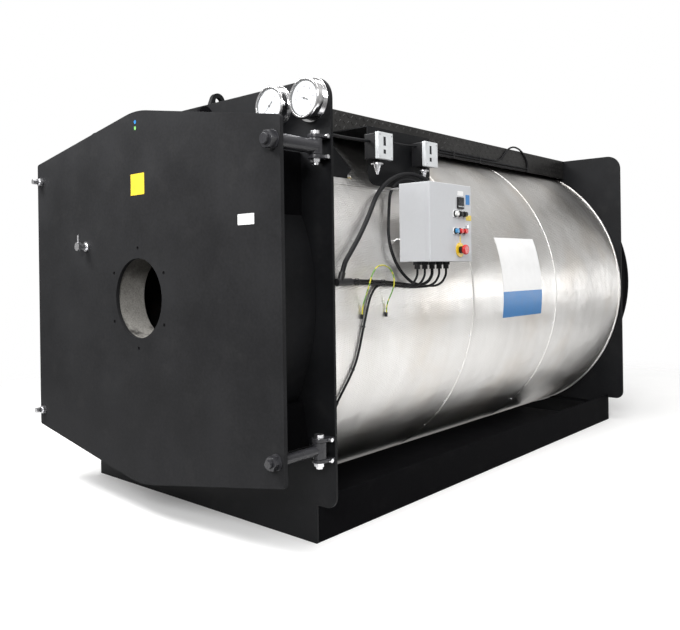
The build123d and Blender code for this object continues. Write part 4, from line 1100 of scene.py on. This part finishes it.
@dataclass
class DialWork:
    """One dial instrument: scale, figures, needle and glass in the node's bezel."""

    node: str
    figures: Sequence[str]
    needle_angle: float
    scale_start: float = 225.0
    scale_sweep: float = 270.0
    marks_between: int = 10
    sides: int = 96
    face_radius: float = 61 * MM
    recess: float = 7 * MM
    dial_thickness: float = 1.0 * MM
    ring_lift: float = 1.2 * MM
    ring_reach: float = 0.6 * MM
    ring_thickness: float = 1.9 * MM
    print_lift: float = 1.1 * MM
    print_half: float = 0.15 * MM
    mark_end: float = 56 * MM
    figure_radius: float = 41 * MM
    figure_size: float = 12 * MM
    glass_radius: float = 63.5 * MM
    glass_thickness: float = 1.2 * MM
    glass_recess: float = 2.2 * MM

    def build(self) -> None:
        """Finish the case and put the dial in it."""
        softened(self.node, POLISHED, 0.8 * MM, segments=3)
        low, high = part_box(self.node)
        self.x, self.z = (low.x + high.x) / 2, (low.z + high.z) / 2
        self.face = low.y + self.recess
        disc = self._disc(self.face - self.dial_thickness / 2, self.face_radius, self.dial_thickness)
        disc.bevel(0.3 * MM, 1)
        self._done(disc, "dial", DIAL_WHITE)
        ring = Workpiece.torus(
            (self.x, self.face - self.ring_lift, self.z), self.face_radius + self.ring_reach,
            self.ring_thickness, Axis.Y, self.sides)
        self._done(ring, "inner_ring", BLACK_PLASTIC)
        self._marks()
        self._figures()
        self._needle()
        glass = self._disc(low.y + self.glass_recess, self.glass_radius, self.glass_thickness)
        self._done(glass, "glass", CLEAR_GLASS)
        log.info("%s done", self.node)

    def _disc(self, y: float, radius: float, thickness: float) -> Workpiece:
        """Make a round sheet about the dial's middle."""
        return Workpiece.round((self.x, y, self.z), radius, thickness, Axis.Y, self.sides)

    def _done(self, work: Workpiece, suffix: str, finish: Finish) -> None:
        """Finish one piece of the dial, named after its node."""
        work.done(f"{self.node}_{suffix}", Body.BOILER, finish, SLOTS[self.node])

    def _at(self, angle: float) -> Matrix:
        """Bring a mark drawn straight up to its angle, in degrees anticlockwise from right."""
        turn = Matrix.Rotation(math.radians(90 - angle), 4, "Y")
        return shift(self.x, self.face - self.print_lift, self.z) @ turn

    def _marks(self) -> None:
        """Draw the scale's long and short marks."""
        steps = (len(self.figures) - 1) * self.marks_between
        marks = []
        for is_long, inner, half in ((True, 49 * MM, 0.75 * MM), (False, 52 * MM, 0.35 * MM)):
            places = [self._at(self.scale_start - self.scale_sweep * step / steps)
                      for step in range(steps + 1) if (step % 5 == 0) == is_long]
            mark = Workpiece.block((-half, -self.print_half, inner), (half, self.print_half, self.mark_end))
            marks.append(mark.copies(places))
        self._done(marks[0].plus(marks[1]), "marks", DIAL_INK)

    def _figures(self) -> None:
        """Set the figures along the scale."""
        words = []
        for index, figure in enumerate(self.figures):
            angle = math.radians(self.scale_start - self.scale_sweep * index / (len(self.figures) - 1))
            bpy.ops.object.select_all(action="DESELECT")
            bpy.ops.object.text_add(
                location=(self.x + self.figure_radius * math.cos(angle), self.face - self.print_lift,
                          self.z + self.figure_radius * math.sin(angle)),
                rotation=(math.pi / 2, 0, 0))
            text = bpy.context.object
            for key, value in (
                    ("body", figure), ("size", self.figure_size), ("extrude", self.print_half),
                    ("resolution_u", 3), ("align_x", "CENTER"), ("align_y", "CENTER")):
                setattr(text.data, key, value)
            bpy.ops.object.convert(target="MESH")
            words.append(Workpiece(bpy.context.object))
        self._done(words[0].plus(*words[1:]), "figures", DIAL_INK)

    def _needle(self) -> None:
        """Make the needle with its tail and hub."""
        needle = Workpiece.block((-1.3 * MM, -0.4 * MM, -20 * MM), (1.3 * MM, 0.4 * MM, 48 * MM))
        needle.on_faces(
            lambda centre, normal: normal.z > FACING,
            lambda: bpy.ops.transform.resize(value=(0.25, 1, 1)))
        tail = Workpiece.block((-2.6 * MM, -0.4 * MM, -22 * MM), (2.6 * MM, 0.4 * MM, -9 * MM))
        tail.bevel(1.0 * MM)
        hub = Workpiece.round((0, 0, 0), 5 * MM, 2.4 * MM, Axis.Y, 32).bevel(0.6 * MM)
        needle.plus(tail, hub).copies([shift(0, -1.2 * MM, 0) @ self._at(self.needle_angle)])
        self._done(needle, "needle", DIAL_INK)


@dataclass
class SwitchWork:
    """The look of one pressure switch: housing, cover, windows and pressure connection."""

    node: str
    cover_depth: float = 16 * MM
    cover_reach: float = 0.6 * MM
    cover_rise: float = 0.8 * MM
    housing_height: float = 104 * MM
    window_shares: Sequence[tuple[float, float]] = ((0.50, 0.84), (0.20, 0.36))
    window_width_shares: tuple[float, float] = (0.34, 0.5)
    screw_radius: float = 3.6 * MM
    screw_inset: float = 9 * MM

    def build(self) -> None:
        """Split the switch's look into its pieces."""
        self.low, self.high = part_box(self.node)
        self.bottom = self.high.z - self.housing_height
        self.face = self.high.x + self.cover_rise
        softened(self.node, BLACK_PLASTIC, 0.8 * MM)
        self._cover()
        self._screws()
        self._connection()
        log.info("%s done", self.node)

    def _cover(self) -> None:
        """Put the pale cover with its two dark windows on the housing."""
        low, high, reach = self.low, self.high, self.cover_reach
        lid = Workpiece.block(
            (high.x - self.cover_depth - 0.2 * MM, low.y - reach, self.bottom - reach),
            (self.face, high.y + reach, high.z + reach))
        lid.bevel(2.2 * MM, 3).done(self.node + "_cover", Body.BOILER, COVER_PLASTIC, SLOTS[self.node])
        width, height = high.y - low.y, high.z - self.bottom
        start, end = (low.y + share * width for share in self.window_width_shares)
        windows = []
        for share_low, share_high in self.window_shares:
            window = Workpiece.block(
                (self.face - 1 * MM, start, self.bottom + share_low * height),
                (self.face + 0.7 * MM, end, self.bottom + share_high * height))
            windows.append(window.bevel(0.9 * MM, 2))
        windows[0].plus(windows[1]).done(self.node + "_windows", Body.BOILER, DARK_GLASS, SLOTS[self.node])

    def _screws(self) -> None:
        """Put a screw in each corner of the cover."""
        head = Workpiece.round((0, 0, 0), self.screw_radius, 1.6 * MM, Axis.X, 20).bevel(0.5 * MM)
        inset = self.screw_inset
        head.copies([shift(self.face + 0.6 * MM, y, z) for y in (self.low.y + inset, self.high.y - inset)
                     for z in (self.bottom + inset, self.high.z - inset)])
        head.done(self.node + "_screws", Body.BOILER, ZINC, ROUND_STEEL)

    def _connection(self) -> None:
        """Sheathe the pressure connection below the housing in bright metal."""
        x = self.low.x + 39.5 * MM
        y = (self.low.y + self.high.y) / 2
        flange = Workpiece.round((x, y, self.bottom - 14.5 * MM), 24.6 * MM, 6.2 * MM, Axis.Z, 40)
        flange.bevel(1.2 * MM)
        bpy.ops.object.select_all(action="DESELECT")
        bpy.ops.mesh.primitive_cone_add(
            vertices=40, radius1=4.4 * MM, radius2=15.6 * MM, depth=39 * MM,
            location=(x, y, self.bottom - 36 * MM))
        cone = Workpiece(bpy.context.object).bevel(1.0 * MM)
        flange.plus(cone).done(self.node + "_connection", Body.BOILER, ZINC, ROUND_STEEL)


@dataclass
class CabinetWork:
    """The control enclosure: box, door, display, operating elements, stop button, glands and wiring."""

    element_colours: Sequence[Sequence[Finish]] = field(default_factory=lambda: (
        (SIGNAL_WHITE, BLACK_PLASTIC, BLACK_PLASTIC), (SIGNAL_BLUE, SIGNAL_RED, SIGNAL_RED)))
    row_shares: Sequence[float] = (0.581, 0.689, 0.797)
    edge: float = 1.0 * MM
    fine_edge: float = 0.8 * MM
    legend_half: float = 13 * MM
    label_thickness: float = 0.6 * MM
    label_corner: float = 2 * MM
    label_rim: float = 1.5 * MM

    def build(self) -> None:
        """Finish the enclosure's pieces."""
        softened("enclosure_shell", CABINET_PAINT, self.edge)
        softened("enclosure_door", CABINET_PAINT, self.edge, Body.CABINET, 3)
        dress(ZINC, "enclosure_brackets")
        dress(SHEATH, "main_cables", "conduits")
        dress(EARTH_SHEATH, "earth_wire")
        dress(BLACK_PLASTIC, "cable_clips")
        softened("cable_glands", BLACK_PLASTIC, self.fine_edge)
        softened("door_lock", ZINC, self.fine_edge, Body.CABINET)
        self.low, self.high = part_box("enclosure_door")
        self._display()
        for row, node in enumerate(("control_row_upper", "control_row_lower")):
            self._row(node, self.element_colours[row])
        self._stop()
        self._labels()
        log.info("cabinet done")

    def _display(self) -> None:
        """Make the panel display, with its bezel, dark window and keys."""
        low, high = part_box("display_unit")
        bezel = Workpiece.block(low, high).bevel(1.6 * MM, 3)
        bezel.done("display_bezel", Body.CABINET, BLACK_PLASTIC, stands_for=("display_unit",))
        screen = Workpiece.block(
            (high.x - 0.5 * MM, low.y + 5 * MM, low.z + 17 * MM),
            (high.x + 0.5 * MM, high.y - 5 * MM, high.z - 5 * MM))
        screen.bevel(0.4 * MM).done("display_screen", Body.CABINET, DARK_GLASS, SLOTS["display_unit"])
        key = Workpiece.block((-0.5 * MM, -3.4 * MM, -2.2 * MM), (0.9 * MM, 3.4 * MM, 2.2 * MM))
        key.bevel(0.5 * MM)
        key.copies([shift(high.x, low.y + (8 + 10 * i) * MM, low.z + 9 * MM) for i in range(4)])
        key.done("display_keys", Body.CABINET, COVER_PLASTIC, SLOTS["display_unit"])

    def _row(self, node: str, colours: Sequence[Finish]) -> None:
        """Model one row of operating elements.

        Args:
            node: The row's node.
            colours: The finish of each element's cap, from front to rear.
        """
        low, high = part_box(node)
        z, half = (low.z + high.z) / 2, self.legend_half
        plates, rings = [], []
        for index, finish in enumerate(colours):
            y = self.low.y + self.row_shares[index] * (self.high.y - self.low.y)
            plate = Workpiece.block((low.x, y - half, z - half), (low.x + 3 * MM, y + half, z + half))
            plates.append(plate.bevel(0.8 * MM, 2))
            ring = Workpiece.round((low.x + 5 * MM, y, z), 12.4 * MM, 5 * MM, Axis.X, 40)
            rings.append(ring.bevel(1.2 * MM, 3))
            cap = Workpiece.round((low.x + 12.5 * MM, y, z), 9.6 * MM, 11 * MM, Axis.X, 40)
            cap.bevel(1.6 * MM, 3).done(f"{node}_cap_{index + 1}", Body.CABINET, finish, SLOTS[node])
        plates[0].plus(*plates[1:]).done(
            node + "_legend_plates", Body.CABINET, WHITE_PRINT, stands_for=(node,))
        rings[0].plus(*rings[1:]).done(node + "_rings", Body.CABINET, BLACK_PLASTIC, SLOTS[node])

    def _stop(self) -> None:
        """Model the stop button: yellow disc, collar and red mushroom head."""
        low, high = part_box("emergency_stop")
        y, z = (low.y + high.y) / 2, (low.z + high.z) / 2
        for name, middle, radius, length, sides, rounding, finish in (
                ("stop_disc", 2, 28.8, 4, 64, (0.8, 2), SIGNAL_YELLOW),
                ("stop_collar", 10, 14, 16, 48, (1.0, 2), BLACK_PLASTIC),
                ("stop_head", 27, 20, 13.6, 64, (5, 5), SIGNAL_RED)):
            piece = Workpiece.round((low.x + middle * MM, y, z), radius * MM, length * MM, Axis.X, sides)
            piece.bevel(rounding[0] * MM, rounding[1])
            if name == "stop_head":
                piece.done(name, Body.CABINET, finish, stands_for=("emergency_stop",))
            else:
                piece.done(name, Body.CABINET, finish, SLOTS["display_unit"])

    def _labels(self) -> None:
        """Stick the blank labels on the enclosure's door."""
        size = self.high - self.low
        for name, shares_low, shares_high, finish in (
                ("cabinet_blue_label", (0.86, 0.75), (0.96, 0.88), BLUE_PRINT),
                ("cabinet_white_label", (0.66, 0.86), (0.80, 0.92), WHITE_PRINT),
                ("cabinet_yellow_label", (0.86, 0.54), (0.995, 0.61), YELLOW_PRINT),
                ("cabinet_yellow_strip", (0.70, 0.25), (0.725, 0.34), YELLOW_PRINT)):
            start, end = (
                (x, self.low.y + share_y * size.y, self.low.z + share_z * size.z)
                for x, (share_y, share_z) in (
                    (self.high.x, shares_low), (self.high.x + self.label_thickness, shares_high)))
            plate = bare_plate(start, end, Vector((1, 0, 0)), self.label_corner, self.label_rim)
            plate.done(name, Body.CABINET, finish, SLOTS["display_unit"])


@dataclass
class VesselWork:
    """What shows through the burner hole, at the nozzles and at the rear."""

    edge: float = 1.2 * MM
    bolt_count: int = 16
    bolt_inset: float = 30 * MM

    def build(self) -> None:
        """Finish the vessel, its nozzles and the rear hood."""
        dress(
            MILL_STEEL, "pressure_shell", "front_tube_plate", "rear_tube_plate", "furnace_tube",
            "furnace_end", "fire_tubes")
        softened("flow_nozzle", FRAME_PAINT, self.edge)
        softened("return_nozzle", FRAME_PAINT, self.edge)
        dress(FRAME_PAINT, "rear_smoke_box", "flue_collar")
        softened("rear_cover", PLATE_PAINT, self.edge)
        softened("cleaning_cover", FRAME_PAINT, self.edge)
        self._cover_bolts()
        log.info("vessel done")

    def _cover_bolts(self) -> None:
        """Bolt the rear cover to the hood's rim."""
        low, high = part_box("rear_cover")
        radius = (high.x - low.x) / 2 - self.bolt_inset
        head = Workpiece.round((0, 0, 5 * MM), 12 * MM, 10 * MM, Axis.Z, 6).bevel(1.2 * MM)
        washer = Workpiece.round((0, 0, 1 * MM), 15 * MM, 2 * MM, Axis.Z, 24).bevel(0.4 * MM)
        places = []
        for index in range(self.bolt_count):
            angle = 2 * math.pi * (index + 0.5) / self.bolt_count
            place = shift(radius * math.cos(angle), high.y, (low.z + high.z) / 2 + radius * math.sin(angle))
            places.append(place @ Matrix.Rotation(-math.pi / 2, 4, "X"))
        head.plus(washer).copies(places).done("rear_cover_bolts", Body.BOILER, ZINC, ROUND_STEEL)


@dataclass
class Studio:
    """Floor, light and camera."""

    camera_place: tuple[float, float, float] = (2.5024, -1.8865, 0.9821)
    camera_forward: tuple[float, float, float] = (-0.6613, 0.7501, 0.0)
    camera_roll: float = -0.0138
    lens: float = 38.69
    shift_up: float = -0.0709
    floor_size: float = 60.0
    floor_middle: float = 1.3
    sky: Sequence[tuple[float, float]] = (
        (0.0, 0.03), (0.4, 0.22), (0.5, 0.4), (0.62, 0.38), (0.74, 0.8), (1.0, 0.26))

    def build(self) -> None:
        """Set up the studio."""
        self._floor()
        self._world()
        self._lights()
        self._camera()

    def _floor(self) -> None:
        """Lay a pale floor that lends no diffuse bounce light."""
        bpy.ops.object.select_all(action="DESELECT")
        bpy.ops.mesh.primitive_plane_add(size=self.floor_size, location=(0, self.floor_middle, 0))
        floor = bpy.context.object
        floor.name = "studio_floor"
        floor.data.materials.append(STUDIO_FLOOR.material())
        floor.visible_diffuse = False

    def _world(self) -> None:
        """Make a sky that is white to look at, with its own levels from nadir to zenith for reflections."""
        world = bpy.data.worlds.new("studio")
        bpy.context.scene.world = world
        recipe = Recipe(world)
        parts = recipe.add("ShaderNodeSeparateXYZ", {}, {0: recipe.coordinates.outputs["Generated"]})
        half = recipe.add("ShaderNodeMapRange", {}, {"Value": parts.outputs[2], "From Min": -1.0})
        stops = [(place, (level, level * 0.99, level * 0.975)) for place, level in self.sky]
        ramp = recipe.add("ShaderNodeValToRGB", {"stops": stops}, {0: half.outputs[0]})
        sky = recipe.add("ShaderNodeBackground", {}, {"Color": ramp.outputs[0]})
        white = recipe.add("ShaderNodeBackground", {}, {"Color": (1.0, 1.0, 1.0, 1.0)})
        paths = recipe.add("ShaderNodeLightPath", {}, {})
        mix = recipe.add("ShaderNodeMixShader", {}, {
            0: paths.outputs["Is Camera Ray"], 1: sky.outputs[0], 2: white.outputs[0]})
        recipe.add("ShaderNodeOutputWorld", {}, {0: mix.outputs[0]})

    def _lights(self) -> None:
        """Hang the soft boxes."""
        for name, place, aim, size, power in (
                ("side_softbox", (4.6, 0.6, 3.2), (0.0, 1.2, 0.8), (3.0, 2.0), 30.0),
                ("top_softbox", (0.5, 0.8, 4.6), (0.0, 0.9, 0.0), (3.0, 5.0), 190.0),
                ("front_softbox", (3.2, -4.2, 3.4), (0.8, 0.8, 1.4), (2.2, 1.6), 230.0),
                ("door_softbox", (-0.9, -1.7, 3.1), (-0.1, 0.0, 1.4), (1.8, 0.8), 105.0),
                ("rear_softbox", (4.0, 6.5, 0.9), (0.4, 2.0, 0.6), (2.0, 1.4), 36.0)):
            light = bpy.data.lights.new(name, "AREA")
            light.shape = "RECTANGLE"
            light.size, light.size_y = size
            light.energy = power
            lamp = bpy.data.objects.new(name, light)
            lamp.location = place
            lamp.rotation_mode = "QUATERNION"
            lamp.rotation_quaternion = (Vector(aim) - Vector(place)).to_track_quat("-Z", "Y")
            bpy.context.scene.collection.objects.link(lamp)

    def _camera(self) -> None:
        """Set up the camera as the photograph's."""
        forward = Vector(self.camera_forward).normalized()
        right = forward.cross(Vector((0, 0, 1))).normalized()
        up = right.cross(forward)
        cosine, sine = math.cos(self.camera_roll), math.sin(self.camera_roll)
        side = right * cosine + up * sine
        head = up * cosine - right * sine
        data = bpy.data.cameras.new("camera")
        data.lens = self.lens
        data.sensor_width = 36.0
        data.shift_y = self.shift_up
        camera = bpy.data.objects.new("camera", data)
        turn = Matrix((side, head, -forward)).transposed().to_4x4()
        camera.matrix_world = Matrix.Translation(self.camera_place) @ turn
        bpy.context.scene.collection.objects.link(camera)
        bpy.context.scene.camera = camera
        bpy.context.scene.view_settings.view_transform = "Standard"


def main() -> None:
    """Build every sub-assembly in order."""
    logging.basicConfig(level=logging.INFO, format="%(name)s: %(message)s")
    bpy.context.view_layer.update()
    Studio().build()
    StructureWork().build()
    CladdingWork().build()
    TreadWork().build()
    DoorWork().build()
    DialWork("gauge_left", ("0", "1", "2", "3", "4", "5", "6"), 222.0).build()
    DialWork("gauge_right", ("0", "20", "40", "60", "80", "100", "120"), 158.0).build()
    dress(PLATE_PAINT, "switch_panel")
    for node in ("pressure_switch_front", "pressure_switch_rear"):
        SwitchWork(node).build()
    CabinetWork().build()
    VesselWork().build()


if __name__ == "__main__":
    main()
